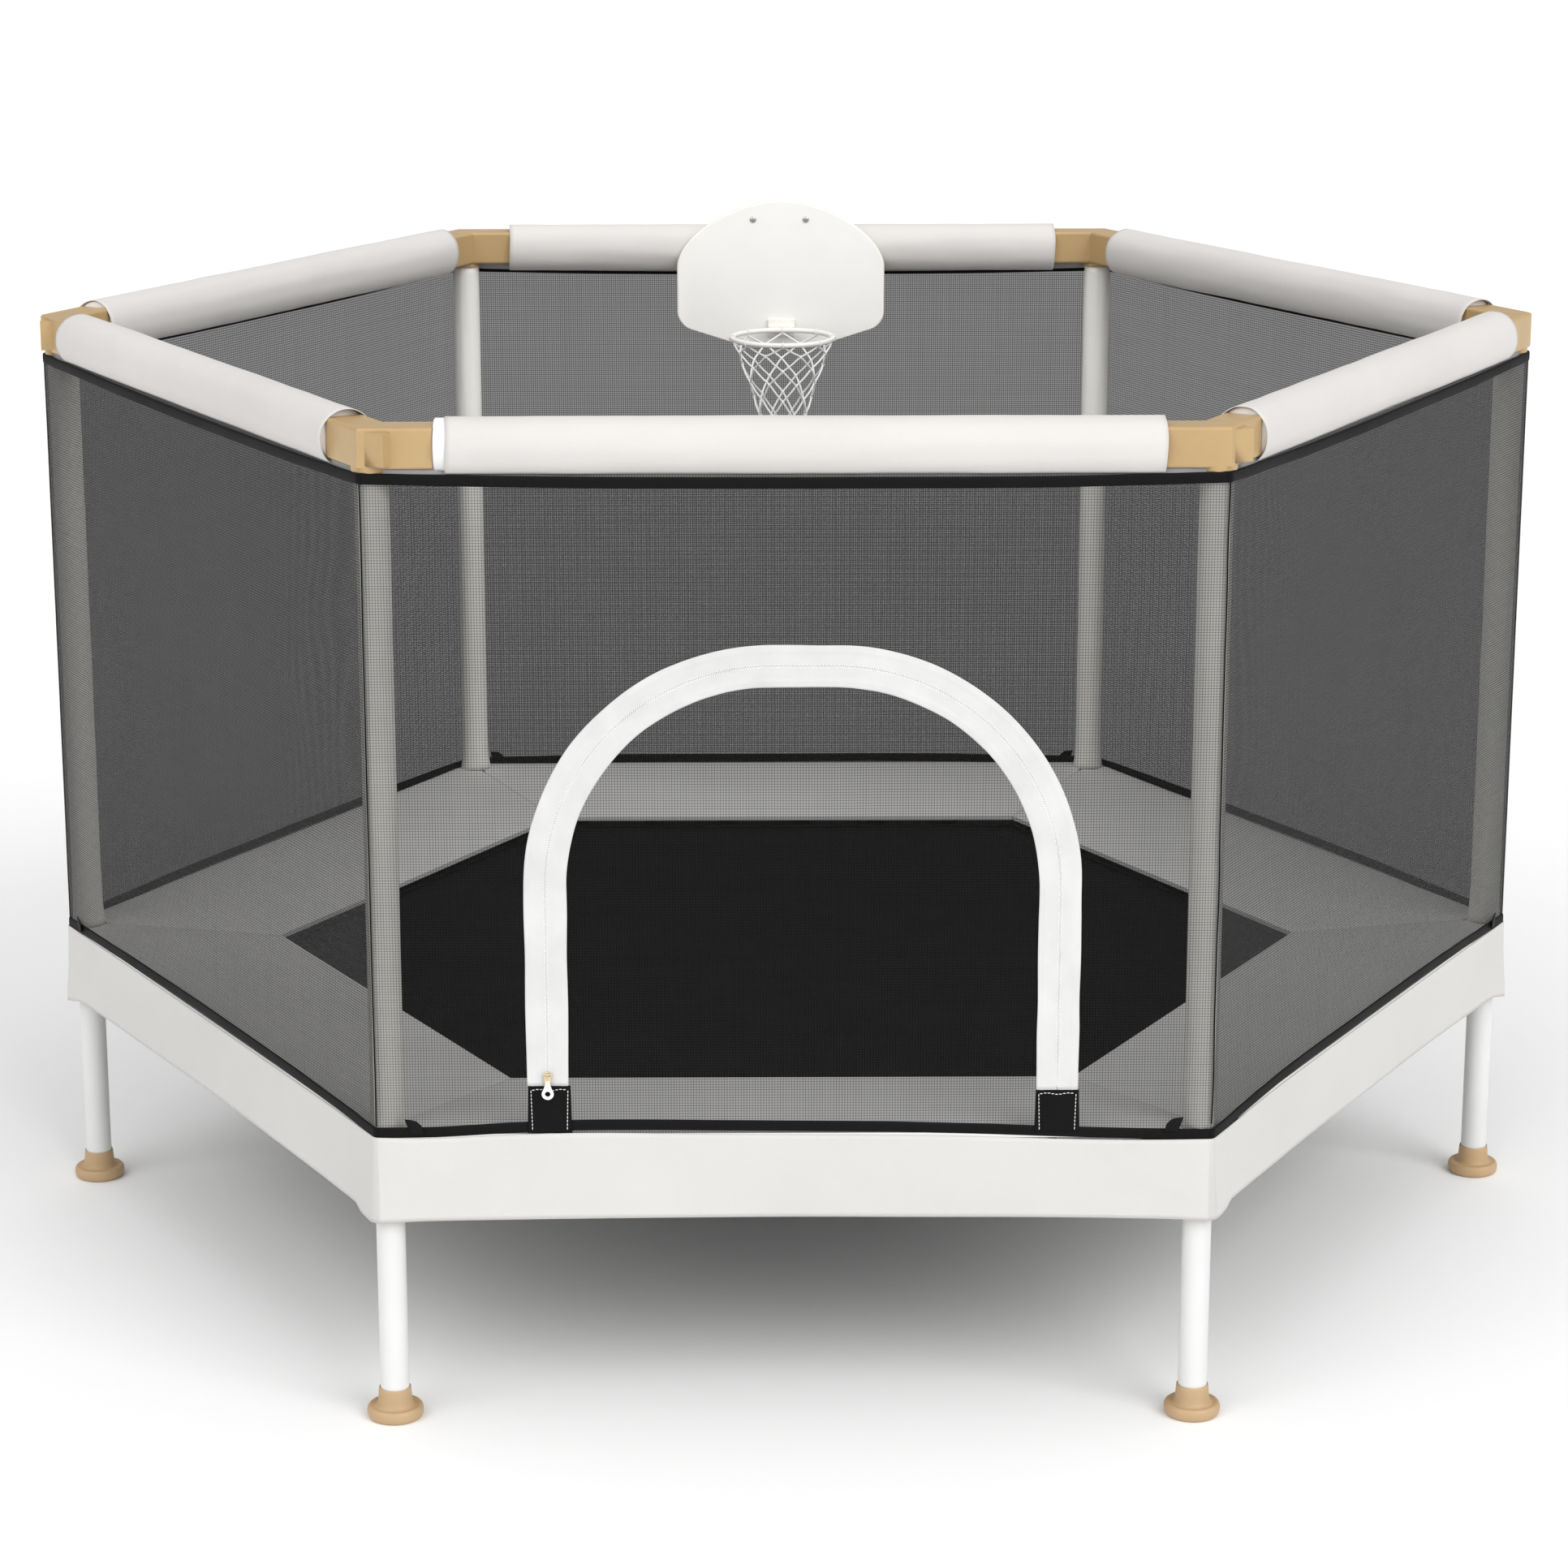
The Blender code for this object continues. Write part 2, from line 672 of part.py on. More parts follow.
def build():
    start_scene()
    white_steel = material("white_steel", (0.88, 0.88, 0.87), 0.35)
    sleeve = material("cream_sleeve", (0.90, 0.89, 0.84), 0.5)
    tan_plastic = material("tan_plastic", (0.60, 0.42, 0.20), 0.45)
    tan_rubber = material("tan_rubber", (0.55, 0.38, 0.19), 0.65)
    rail_cover = material("white_rail_cover", (0.86, 0.84, 0.82), 0.7)
    pad_cover = material("white_pad_cover", (0.82, 0.81, 0.79), 0.7)
    skirt_cloth = material("white_skirt", (0.83, 0.81, 0.79), 0.8)
    black_mat = material("black_mat", (0.012, 0.012, 0.012), 0.75)
    elastic = material("black_elastic", (0.02, 0.02, 0.02), 0.7)
    net_cloth = material("black_net", (0.01, 0.01, 0.01), 0.8)
    white_board = material("white_board", (0.85, 0.85, 0.83), 0.35)
    white_rim = material("white_rim", (0.88, 0.87, 0.83), 0.35)
    white_cord = material("white_cord", (0.86, 0.86, 0.84), 0.8)
    gold = material("gold_zip", (0.75, 0.60, 0.33), 0.3, 0.9)
    white_pull = material("white_pull", (0.85, 0.84, 0.80), 0.3, 0.3)
    add_feet(tan_rubber)
    add_legs(white_steel)
    add_base_corners(tan_plastic)
    add_frame_sides(white_steel)
    add_posts(sleeve)
    add_top_corners(tan_plastic)
    add_top_rails(white_steel, rail_cover)
    add_jump_mat(black_mat)
    add_bungee(elastic)
    add_spring_pad(pad_cover)
    add_skirt(skirt_cloth)
    add_front_net(net_cloth)
    add_wall_net(net_cloth)
    add_zip(gold, white_pull)
    add_backboard(white_board)
    add_hoop(white_rim, white_cord)


build()
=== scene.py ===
"""The looks of a hexagonal play trampoline: net enclosure, zipped door, padded rails and a small hoop."""

from math import atan2, ceil, cos, exp, hypot, pi, radians, sin, sqrt, tan

import bmesh
import bpy
from mathutils import Matrix, Vector, noise


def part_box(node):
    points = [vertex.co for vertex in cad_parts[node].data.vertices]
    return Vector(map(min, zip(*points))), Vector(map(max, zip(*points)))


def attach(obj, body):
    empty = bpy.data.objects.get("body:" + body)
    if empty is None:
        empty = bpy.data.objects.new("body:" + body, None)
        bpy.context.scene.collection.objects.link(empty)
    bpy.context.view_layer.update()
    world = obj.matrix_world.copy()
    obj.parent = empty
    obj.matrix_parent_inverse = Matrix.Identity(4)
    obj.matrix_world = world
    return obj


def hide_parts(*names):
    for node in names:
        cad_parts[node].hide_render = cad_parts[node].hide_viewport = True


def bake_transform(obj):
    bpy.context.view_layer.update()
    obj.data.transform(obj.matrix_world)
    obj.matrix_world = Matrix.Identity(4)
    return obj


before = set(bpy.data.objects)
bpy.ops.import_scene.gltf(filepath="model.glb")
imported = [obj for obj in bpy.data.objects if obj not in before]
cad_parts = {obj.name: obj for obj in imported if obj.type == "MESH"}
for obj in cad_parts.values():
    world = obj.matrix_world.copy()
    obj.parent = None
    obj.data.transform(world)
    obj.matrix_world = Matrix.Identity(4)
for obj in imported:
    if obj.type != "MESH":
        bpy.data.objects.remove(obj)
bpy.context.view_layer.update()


# Camera, floor and lamps
# The object stands alone on a pale floor under soft, even light.

scene = bpy.context.scene
scene.view_settings.view_transform = "Standard"
camera = bpy.data.objects.new("camera", bpy.data.cameras.new("camera"))
scene.collection.objects.link(camera)
camera.data.lens = 95.58
camera.data.sensor_width = 36
camera.location = (-0.0400, -3.9983, 1.4879)
camera.rotation_euler = (pi / 2 - 0.2632, 0, -0.0092)
scene.camera = camera

world = bpy.data.worlds.new("studio")
world.use_nodes = True
world.node_tree.nodes["Background"].inputs["Color"].default_value = (1.0, 1.0, 1.0, 1.0)
world.node_tree.nodes["Background"].inputs["Strength"].default_value = 0.46
scene.world = world


def add_lamp(name, azimuth, elevation, strength, spread):
    """A wide, distant soft box; azimuth is counted from the front towards the right."""
    lamp = bpy.data.objects.new(name, bpy.data.lights.new(name, "SUN"))
    lamp.data.energy = strength
    lamp.data.angle = radians(spread)
    turn, rise = radians(azimuth), radians(elevation)
    source = Vector((sin(turn) * cos(rise), -cos(turn) * cos(rise), sin(rise)))
    lamp.rotation_euler = source.to_track_quat("Z", "Y").to_euler()
    scene.collection.objects.link(lamp)


add_lamp("right_box", 40, 34, 1.48, 40)
add_lamp("left_box", -40, 34, 0.88, 50)
add_lamp("top_box", 0, 80, 0.92, 100)


def start_finish(name, colour, roughness):
    finish = bpy.data.materials.new(name)
    finish.use_nodes = True
    shader = finish.node_tree.nodes["Principled BSDF"]
    shader.inputs["Base Color"].default_value = (*colour, 1.0)
    shader.inputs["Roughness"].default_value = roughness
    return finish


def step(finish, kind, inputs=None, **settings):
    """Adds a shader node; inputs maps a socket to a number or to another node's output."""
    made = finish.node_tree.nodes.new("ShaderNode" + kind)
    for key, value in settings.items():
        setattr(made, key, value)
    for socket, value in (inputs or {}).items():
        if isinstance(value, bpy.types.NodeSocket):
            finish.node_tree.links.new(value, made.inputs[socket])
        else:
            made.inputs[socket].default_value = value
    return made


def worked(finish, operation, first, second=0.0):
    """The output of one Math node."""
    return step(finish, "Math", {0: first, 1: second}, operation=operation).outputs[0]


def grain(finish, scale, detail=2.0, stretch=(1, 1, 1)):
    """Noise in the object's own metres, with this many grains to the metre."""
    source = step(finish, "TexCoord").outputs["Object"]
    spread = step(finish, "Mapping", {"Vector": source, "Scale": stretch}).outputs[0]
    made = step(finish, "TexNoise", {"Vector": spread, "Scale": scale, "Detail": detail})
    return made.outputs[0]


def shaded_between(finish, factor, dark, light, low=0.3, high=0.7):
    """A colour that runs from dark to light as factor runs from low to high."""
    ramp = step(finish, "ValToRGB", {"Fac": factor})
    for stop, place, colour in zip(ramp.color_ramp.elements, (low, high), (dark, light)):
        stop.position = place
        stop.color = (*colour, 1.0)
    return ramp.outputs[0]


def dress(finish, colour=None, roughness=None, height=None, depth=0.0002, strength=0.5):
    """Joins a worked-out colour, roughness and relief to the shader."""
    shader = finish.node_tree.nodes["Principled BSDF"]
    links = finish.node_tree.links
    if colour is not None:
        links.new(colour, shader.inputs["Base Color"])
    if roughness is not None:
        links.new(roughness, shader.inputs["Roughness"])
    if height is not None:
        relief = step(finish, "Bump", {"Height": height, "Distance": depth, "Strength": strength})
        links.new(relief.outputs[0], shader.inputs["Normal"])
    return finish


def between(finish, factor, low, high):
    """Scales a 0 to 1 output to run from low to high."""
    return step(finish, "MapRange", {"Value": factor, "To Min": low, "To Max": high}).outputs[0]


def tinted(colour, share):
    return tuple(min(1.0, part * share) for part in colour)


def painted(name, colour, roughness):
    """Powder coat: a fine orange peel, with faint cloudiness in its gloss."""
    finish = start_finish(name, colour, roughness)
    cloud = grain(finish, 9)
    peel = grain(finish, 900, 1.0)
    shade = shaded_between(finish, cloud, tinted(colour, 0.97), tinted(colour, 1.02))
    gloss = between(finish, cloud, roughness - 0.06, roughness + 0.08)
    return dress(finish, shade, gloss, peel, 0.00006, 0.35)


def moulded(name, colour, roughness, texture=1400, cloudy=0.05):
    """Moulded plastic or rubber: fine spark texture, and slow changes of shade from the mould."""
    finish = start_finish(name, colour, roughness)
    cloud = grain(finish, 22, 3.0)
    spark = grain(finish, texture, 2.0)
    shade = shaded_between(finish, cloud, tinted(colour, 1 - cloudy), tinted(colour, 1 + cloudy))
    gloss = between(finish, grain(finish, 60), roughness - 0.08, roughness + 0.10)
    return dress(finish, shade, gloss, spark, 0.00008, 0.4)


floor_bm = bmesh.new()
bmesh.ops.create_grid(floor_bm, x_segments=1, y_segments=1, size=20)
floor_mesh = bpy.data.meshes.new("floor")
floor_bm.to_mesh(floor_mesh)
floor_bm.free()
floor_mesh.materials.append(start_finish("floor_paint", (0.95, 0.95, 0.95), 0.8))
floor = bpy.data.objects.new("floor", floor_mesh)
scene.collection.objects.link(floor)


# Feet
# Flared caps of tan rubber: a cone collar over a round sole with a rolled rim. Each is pushed onto a leg.

POST_CIRCLE = sum(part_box("leg_right")[end].x for end in (0, 1)) / 2
APOTHEM = POST_CIRCLE * cos(radians(30))
CORNERS = {"right": 0, "back_right": 60, "back_left": 120, "left": 180, "front_left": 240, "front_right": 300}
SIDES = {"front": 0, "right_front": 60, "right_back": 120, "back": 180, "left_back": 240, "left_front": 300}


def to_mesh(bm, name, sharp=40):
    """Merges doubles, turns the faces outwards and shades smooth up to this angle."""
    bmesh.ops.remove_doubles(bm, verts=bm.verts, dist=1e-6)
    bmesh.ops.recalc_face_normals(bm, faces=bm.faces)
    mesh = bpy.data.meshes.new(name)
    bm.to_mesh(mesh)
    bm.free()
    mesh.shade_smooth()
    mesh.set_sharp_from_angle(angle=radians(sharp))
    return mesh


def add_piece(name, mesh, finish, body="root", stands_for=()):
    """A new piece with its finish and material slot, which moves with a body and stands for CAD nodes."""
    mesh.materials.clear()
    mesh.materials.append(finish)
    thing = bpy.data.objects.new(name, mesh)
    scene.collection.objects.link(thing)
    if body:
        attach(thing, body)
    if stands_for:
        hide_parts(*stands_for)
    return thing


def turned(mesh, degrees):
    """A copy of a mesh, turned about the middle of the trampoline."""
    copy = mesh.copy()
    copy.transform(Matrix.Rotation(radians(degrees), 4, "Z"))
    return copy


def spun(outline, segments=48, closed=True):
    """A (radius, height) outline turned once round Z."""
    bm = bmesh.new()
    points = [bm.verts.new((radius, 0, height)) for radius, height in outline]
    ends = points[1:] + points[:1] if closed and outline[0][0] > 0 else points[1:]
    edges = [bm.edges.new(pair) for pair in zip(points, ends)]
    bmesh.ops.spin(
        bm, geom=points + edges, cent=(0, 0, 0), axis=(0, 0, 1), dvec=(0, 0, 0),
        angle=2 * pi, steps=segments, use_merge=True, use_duplicate=False,
    )
    return bm


LEG_RADIUS = (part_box("leg_right")[1].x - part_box("leg_right")[0].x) / 2
FOOT_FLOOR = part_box("leg_right")[0].z - 0.0003
foot_outline = [
    (0, 0.0010), (0.0150, 0.0010), (0.0158, 0), (0.0208, 0), (0.0226, 0.0005), (0.0238, 0.0018),
    (0.0245, 0.0038), (0.0248, 0.0062), (0.0246, 0.0084), (0.0240, 0.0101), (0.0230, 0.0112),
    (0.0218, 0.0115), (0.0206, 0.0112), (0.0192, 0.0109), (0.0178, 0.0112), (0.0166, 0.0122),
    (0.0157, 0.0138), (0.0151, 0.0160), (0.0147, 0.0190), (0.0144, 0.0230), (0.0142, 0.0262),
    (0.0140, 0.0276), (0.0136, 0.0282), (LEG_RADIUS + 0.0003, 0.0280), (LEG_RADIUS + 0.0003, FOOT_FLOOR),
    (0, FOOT_FLOOR),
]
foot_mesh = to_mesh(spun(foot_outline), "foot", 50)
foot_mesh.transform(Matrix.Translation((POST_CIRCLE, 0, 0)))
foot_rubber = moulded("tan_rubber", (0.505, 0.345, 0.188), 0.50, 900)
for where, turn in CORNERS.items():
    add_piece(f"rubber_foot_{where}", turned(foot_mesh, turn), foot_rubber,
              stands_for=[f"foot_{where}"])


# Legs
# Straight one inch steel tubes in white powder coat, open at both ends and pushed into the feet.

LEG_LOW, LEG_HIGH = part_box("leg_right")[0].z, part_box("leg_right")[1].z
TUBE_WALL = 0.0012
TUBE_LIP = 0.0003


def tube_outline(outer, inner, low, high, lip=TUBE_LIP):
    return [
        (outer - lip, low), (outer, low + lip), (outer, high - lip), (outer - lip, high),
        (inner, high), (inner, low),
    ]


leg_mesh = to_mesh(spun(tube_outline(LEG_RADIUS, LEG_RADIUS - TUBE_WALL, LEG_LOW, LEG_HIGH)), "leg")
leg_mesh.transform(Matrix.Translation((POST_CIRCLE, 0, 0)))
white_paint = painted("white_powder_coat", (0.740, 0.740, 0.735), 0.34)
for where, turn in CORNERS.items():
    add_piece(f"leg_tube_{where}", turned(leg_mesh, turn), white_paint,
              stands_for=[f"leg_{where}"])


# Base corners and frame sides
# Tan plastic joints take the leg, the post and two white tubes; together they make the hexagonal frame.

tan_plastic = moulded("tan_plastic", (0.480, 0.325, 0.152), 0.36)
for where in CORNERS:
    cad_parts[f"base_corner_{where}"].material_slots[0].material = tan_plastic
for where in SIDES:
    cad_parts[f"frame_side_{where}"].material_slots[0].material = white_paint


# Posts
# Steel tubes inside smooth cream sleeves of coated cloth, which flare a little where they meet the pad.

POST_LOW, POST_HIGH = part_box("post_right")[0].z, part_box("post_right")[1].z
SLEEVE_RADIUS = (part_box("post_right")[1].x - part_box("post_right")[0].x) / 2
SLEEVE_LOW, SLEEVE_HIGH = 0.2669, 0.8430
SLEEVE_WALL = 0.0008


def mapped_grid(columns, rows, size, place):
    """A grid of quads; place(u, v) puts each point, and its UV map is size metres across and along."""
    bm = bmesh.new()
    bmesh.ops.create_grid(bm, x_segments=columns, y_segments=rows, size=0.5)
    uv = bm.loops.layers.uv.new("weave")
    for face in bm.faces:
        for loop in face.loops:
            spot = loop.vert.co
            loop[uv].uv = ((spot.x + 0.5) * size[0], (spot.y + 0.5) * size[1])
    for vert in bm.verts:
        vert.co = place(vert.co.x + 0.5, vert.co.y + 0.5)
    return bm


def ripple(x, y, z, seed=0.0):
    """Smooth noise from -1 to 1 at a place."""
    return noise.noise(Vector((x + seed, y - seed, z + 2 * seed)))


def thickened(thing, thickness, offset=-1.0):
    wall = thing.modifiers.new("cloth", "SOLIDIFY")
    wall.thickness = thickness
    wall.offset = offset
    wall.use_even_offset = True
    return thing


def sleeve_point(u, v, seed):
    height = SLEEVE_LOW + v * (SLEEVE_HIGH - SLEEVE_LOW)
    above = height - SLEEVE_LOW
    angle = 2 * pi * u
    flare = 0.0030 * exp(-above / 0.011) * (0.7 + 0.3 * cos(2 * angle + seed))
    loose = 0.00035 * ripple(3 * cos(angle), 3 * sin(angle), height * 14, seed)
    radius = SLEEVE_RADIUS + flare + loose
    return (POST_CIRCLE + radius * cos(angle), radius * sin(angle), height)


def woven(finish, across, along):
    """Height of a plain weave on the piece's own UV map, with these thread pitches in metres."""
    cloth = step(finish, "UVMap", uv_map="weave").outputs[0]
    spot = step(finish, "SeparateXYZ", {"Vector": cloth})
    waves = []
    for axis, pitch in (("X", across), ("Y", along)):
        turns = worked(finish, "MULTIPLY", spot.outputs[axis], 2 * pi / pitch)
        waves.append(worked(finish, "SINE", turns))
    return worked(finish, "MULTIPLY", *waves)


def cloth(name, colour, roughness, pitch, relief=0.00010, sheen=0.15, crumple=0.0010):
    """Woven cloth: threads whose colour is lighter on their tops and darker in the gaps as painted shade, slow changes
    of colour that are partly soiling and partly painted wrinkle shade, and soft creases.
    """
    finish = start_finish(name, colour, roughness)
    shader = finish.node_tree.nodes["Principled BSDF"]
    shader.inputs["Sheen Weight"].default_value = sheen
    shader.inputs["Sheen Roughness"].default_value = 0.45
    threads = woven(finish, pitch, pitch)
    slub = grain(finish, 260, 2.0)
    cloud = grain(finish, 7, 4.0)
    # The colour follows the thread relief and is darker in the gaps: painted shade. The slow cloud is partly soiling
    # and partly painted wrinkle shade. The slub is random tone.
    weave_shade_and_tone = worked(finish, "ADD", worked(finish, "MULTIPLY", threads, 0.18), cloud)
    weave_shade_and_tone = worked(finish, "ADD", weave_shade_and_tone, worked(finish, "MULTIPLY", slub, 0.15))
    shade = shaded_between(finish, weave_shade_and_tone, tinted(colour, 0.93), tinted(colour, 1.03), 0.25, 0.95)
    fold = worked(finish, "MULTIPLY", grain(finish, 16, 3.0), crumple)
    weave = worked(finish, "MULTIPLY", threads, relief)
    height = worked(finish, "ADD", fold, weave)
    return dress(finish, shade, None, height, 1.0, 0.6)


post_mesh = to_mesh(spun(tube_outline(LEG_RADIUS, LEG_RADIUS - TUBE_WALL, POST_LOW, POST_HIGH)), "post")
post_mesh.transform(Matrix.Translation((POST_CIRCLE, 0, 0)))
cream_sleeve = cloth("cream_sleeve", (0.930, 0.915, 0.870), 0.42, 0.0009, 0.00004, 0.05, 0.0004)
for number, (where, turn) in enumerate(CORNERS.items()):
    add_piece(f"post_tube_{where}", turned(post_mesh, turn), white_paint)
    around = 2 * pi * SLEEVE_RADIUS
    bm = mapped_grid(48, 72, (around, SLEEVE_HIGH - SLEEVE_LOW),
                     lambda u, v, seed=number: sleeve_point(u, v, 1.7 * seed))
    sleeve = add_piece(f"post_sleeve_{where}", turned(to_mesh(bm, "sleeve"), turn), cream_sleeve,
                       stands_for=[f"post_{where}"])
    thickened(sleeve, SLEEVE_WALL)


# Top corners
# Moulded elbows of tan plastic: a square section with soft edges, two arms at 120 degrees that take the
# rails, and a round collar underneath for the post.

RAIL_HEIGHT = (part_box("rail_pad_front")[0].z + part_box("rail_pad_front")[1].z) / 2
ELBOW_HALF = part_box("top_corner_right")[1].z - RAIL_HEIGHT
ELBOW_ARM = 0.0520
ELBOW_EDGE = 0.0030
ELBOW_KNEE = 0.0060
COLLAR_RADIUS = 0.0170
COLLAR_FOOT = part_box("top_corner_right")[0].z - 0.0008


def section_matrix(across, along, centre):
    """Lays a flat section with its X across the arm and its Y upright."""
    up = Vector((0, 0, 1))
    matrix = Matrix((across, up, along)).transposed().to_4x4()
    matrix.translation = centre
    return matrix


def elbow():
    corner = Vector((POST_CIRCLE, 0, RAIL_HEIGHT))
    arms = [Vector((cos(radians(a)), sin(radians(a)), 0)) for a in (120, 240)]
    inward = [Vector((-cos(radians(30)), side * sin(radians(30)), 0)) for side in (-1, 1)]
    mitre = Vector((-1 / cos(radians(30)), 0, 0))
    stations = [
        section_matrix(inward[0], arms[0], corner + arms[0] * ELBOW_ARM),
        section_matrix(mitre, Vector((0, -1, 0)), corner),
        section_matrix(inward[1], -arms[1], corner + arms[1] * ELBOW_ARM),
    ]
    bm = bmesh.new()
    bmesh.ops.create_circle(bm, cap_ends=True, segments=4, radius=ELBOW_HALF * sqrt(2),
                            matrix=Matrix.Rotation(radians(45), 4, "Z"))
    bmesh.ops.bevel(bm, geom=list(bm.verts), offset=ELBOW_EDGE, segments=4, profile=0.5,
                    affect="VERTICES", material=-1)
    bm.transform(stations[0])
    face = bm.faces[:]
    for before, after in zip(stations, stations[1:]):
        made = bmesh.ops.extrude_face_region(bm, geom=face)["geom"]
        moved = [part for part in made if isinstance(part, bmesh.types.BMVert)]
        face = [part for part in made if isinstance(part, bmesh.types.BMFace)]
        bmesh.ops.transform(bm, verts=moved, matrix=after @ before.inverted())
    bmesh.ops.recalc_face_normals(bm, faces=bm.faces)
    knee = [e for e in bm.edges if all(abs(v.co.y) < 1e-5 for v in e.verts)]
    bent = [e for e in knee if len(e.link_faces) == 2 and e.calc_face_angle() > radians(20)]
    bmesh.ops.bevel(bm, geom=bent, offset=ELBOW_KNEE, segments=5, profile=0.5, affect="EDGES",
                    material=-1)
    ends = [f for f in bm.faces if len(f.verts) > 8]
    for end in ends:
        inward_way = -end.normal.copy()
        rim = [edge for edge in end.edges]
        bmesh.ops.inset_region(bm, faces=[end], thickness=0.0032, depth=0.0)
        made = bmesh.ops.extrude_face_region(bm, geom=[end])["geom"]
        deep = [part for part in made if isinstance(part, bmesh.types.BMVert)]
        bmesh.ops.translate(bm, verts=deep, vec=inward_way * 0.024)
        bmesh.ops.bevel(bm, geom=rim, offset=0.0008, segments=2, profile=0.5, affect="EDGES",
                        material=-1)
    return bm


def applied(thing):
    """Swaps a piece's mesh for its finished one, with its modifiers applied."""
    bpy.context.view_layer.update()
    graph = bpy.context.evaluated_depsgraph_get()
    mesh = bpy.data.meshes.new_from_object(thing.evaluated_get(graph))
    thing.modifiers.clear()
    thing.data = mesh
    return thing


def joined(first, second, operation="UNION"):
    """The Boolean of two meshes, as one mesh."""
    things = [bpy.data.objects.new("blank", mesh) for mesh in (first, second)]
    for thing in things:
        scene.collection.objects.link(thing)
    cut = things[0].modifiers.new("join", "BOOLEAN")
    cut.operation = operation
    cut.object = things[1]
    mesh = applied(things[0]).data
    mesh.shade_smooth()
    mesh.set_sharp_from_angle(angle=radians(50))
    things[0].modifiers.new("even", "WEIGHTED_NORMAL").keep_sharp = True
    mesh = applied(things[0]).data
    for thing in things:
        bpy.data.objects.remove(thing)
    return mesh


collar_outline = [
    (0, COLLAR_FOOT), (COLLAR_RADIUS - 0.0009, COLLAR_FOOT), (COLLAR_RADIUS - 0.0003, COLLAR_FOOT + 0.0003),
    (COLLAR_RADIUS, COLLAR_FOOT + 0.0010), (COLLAR_RADIUS, COLLAR_FOOT + 0.0080), (0, COLLAR_FOOT + 0.0080),
]
collar_mesh = to_mesh(spun(collar_outline), "collar")
collar_mesh.transform(Matrix.Translation((POST_CIRCLE, 0, 0)))
elbow_mesh = joined(to_mesh(elbow(), "elbow"), collar_mesh)
for where, turn in CORNERS.items():
    add_piece(f"corner_elbow_{where}", turned(elbow_mesh, turn), tan_plastic,
              stands_for=[f"top_corner_{where}"])


# Top rails with foam sleeves and covers
# A steel tube in each side, a white foam sleeve on it, and over that a looser tube of white cloth. The
# covers slide a little, so on the front side the foam shows at one end.

COVER_RADIUS = (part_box("rail_pad_front")[1].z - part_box("rail_pad_front")[0].z) / 2
FOAM_RADIUS = COVER_RADIUS - 0.0019
FOAM_BORE = LEG_RADIUS + 0.0003
FOAM_HALF = POST_CIRCLE / 2 - ELBOW_ARM - 0.0005
COVER_ENDS = {
    "front": (-0.2874, 0.3066), "right_front": (-0.3030, 0.3035), "right_back": (-0.3020, 0.3020),
    "back": (-0.3010, 0.3000), "left_back": (-0.3020, 0.3020), "left_front": (-0.3035, 0.3030),
}


def foam_mesh():
    edge = 0.0016
    outline = [
        (FOAM_BORE, -FOAM_HALF), (FOAM_RADIUS - edge, -FOAM_HALF), (FOAM_RADIUS - 0.4 * edge, -FOAM_HALF + 0.3 * edge),
        (FOAM_RADIUS, -FOAM_HALF + edge), (FOAM_RADIUS, FOAM_HALF - edge),
        (FOAM_RADIUS - 0.4 * edge, FOAM_HALF - 0.3 * edge), (FOAM_RADIUS - edge, FOAM_HALF), (FOAM_BORE, FOAM_HALF),
    ]
    mesh = to_mesh(spun(outline), "foam", 50)
    mesh.transform(Matrix.Translation((0, -APOTHEM, RAIL_HEIGHT)) @ Matrix.Rotation(radians(90), 4, "Y"))
    return mesh


def cover_point(u, v, ends, seed):
    angle = 2 * pi * v
    up, out = sin(angle), cos(angle)
    first, last = ends
    run = u - 0.5
    uneven = 0.0012 * sin(angle + seed) + 0.0022 * max(0.0, up) ** 3 * (1 if seed % 2 else -1)
    x = first + u * (last - first) + uneven * (abs(2 * run) ** 8)
    pull = 0.00055 * ripple(x * 9, 2.2 * up, 2.2 * out, seed) + 0.00035 * ripple(x * 30, up, out, seed + 9)
    sag = 0.0024 * max(0.0, -up) ** 1.5
    radius = COVER_RADIUS - 0.0006 + pull + sag
    return (x, -APOTHEM - radius * out, RAIL_HEIGHT + radius * up)


def foam_finish():
    """Closed-cell foam: tiny pits all over, painted darker towards their middles as painted shade."""
    finish = start_finish("white_foam", (0.885, 0.880, 0.875), 0.85)
    source = step(finish, "TexCoord").outputs["Object"]
    cells = step(finish, "TexVoronoi", {"Vector": source, "Scale": 900.0}).outputs["Distance"]
    # The pits are painted darker where the relief is lowest: painted shade.
    shade = shaded_between(finish, cells, (0.80, 0.795, 0.79), (0.87, 0.865, 0.86), 0.0, 0.5)
    return dress(finish, shade, None, cells, 0.0003, 0.5)


rail_cloth = cloth("white_rail_cloth", (0.685, 0.663, 0.643), 0.70, 0.0008, 0.00008, 0.12, 0.0009)
white_foam = foam_finish()
for number, (where, turn) in enumerate(SIDES.items()):
    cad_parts[f"top_rail_{where}"].material_slots[0].material = white_paint
    foam = add_piece(f"rail_foam_{where}", turned(foam_mesh(), turn), white_foam)
    ends = COVER_ENDS[where]
    size = (ends[1] - ends[0], 2 * pi * COVER_RADIUS)
    bm = mapped_grid(110, 48, size, lambda u, v, e=ends, s=number: cover_point(u, v, e, float(s)))
    cover = add_piece(f"rail_cover_{where}", turned(to_mesh(bm, "cover", 60), turn), rail_cloth,
                      stands_for=[f"rail_pad_{where}"])
    thickened(cover, 0.0007)


# Jump mat
# A hexagon of black woven polypropylene with a doubled hem, two rows of stitching, and a webbing loop at
# each turn of the bungee. It hangs in the frame and moves down when someone jumps.

MAT_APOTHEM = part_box("jump_mat")[1].y
MAT_HEIGHT = (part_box("jump_mat")[0].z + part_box("jump_mat")[1].z) / 2
MAT_CIRCLE = MAT_APOTHEM / cos(radians(30))
HEM_WIDTH = 0.034
LOOPS_PER_SIDE = 6
BUNGEE_INNER, BUNGEE_OUTER = 0.4775, 0.5865


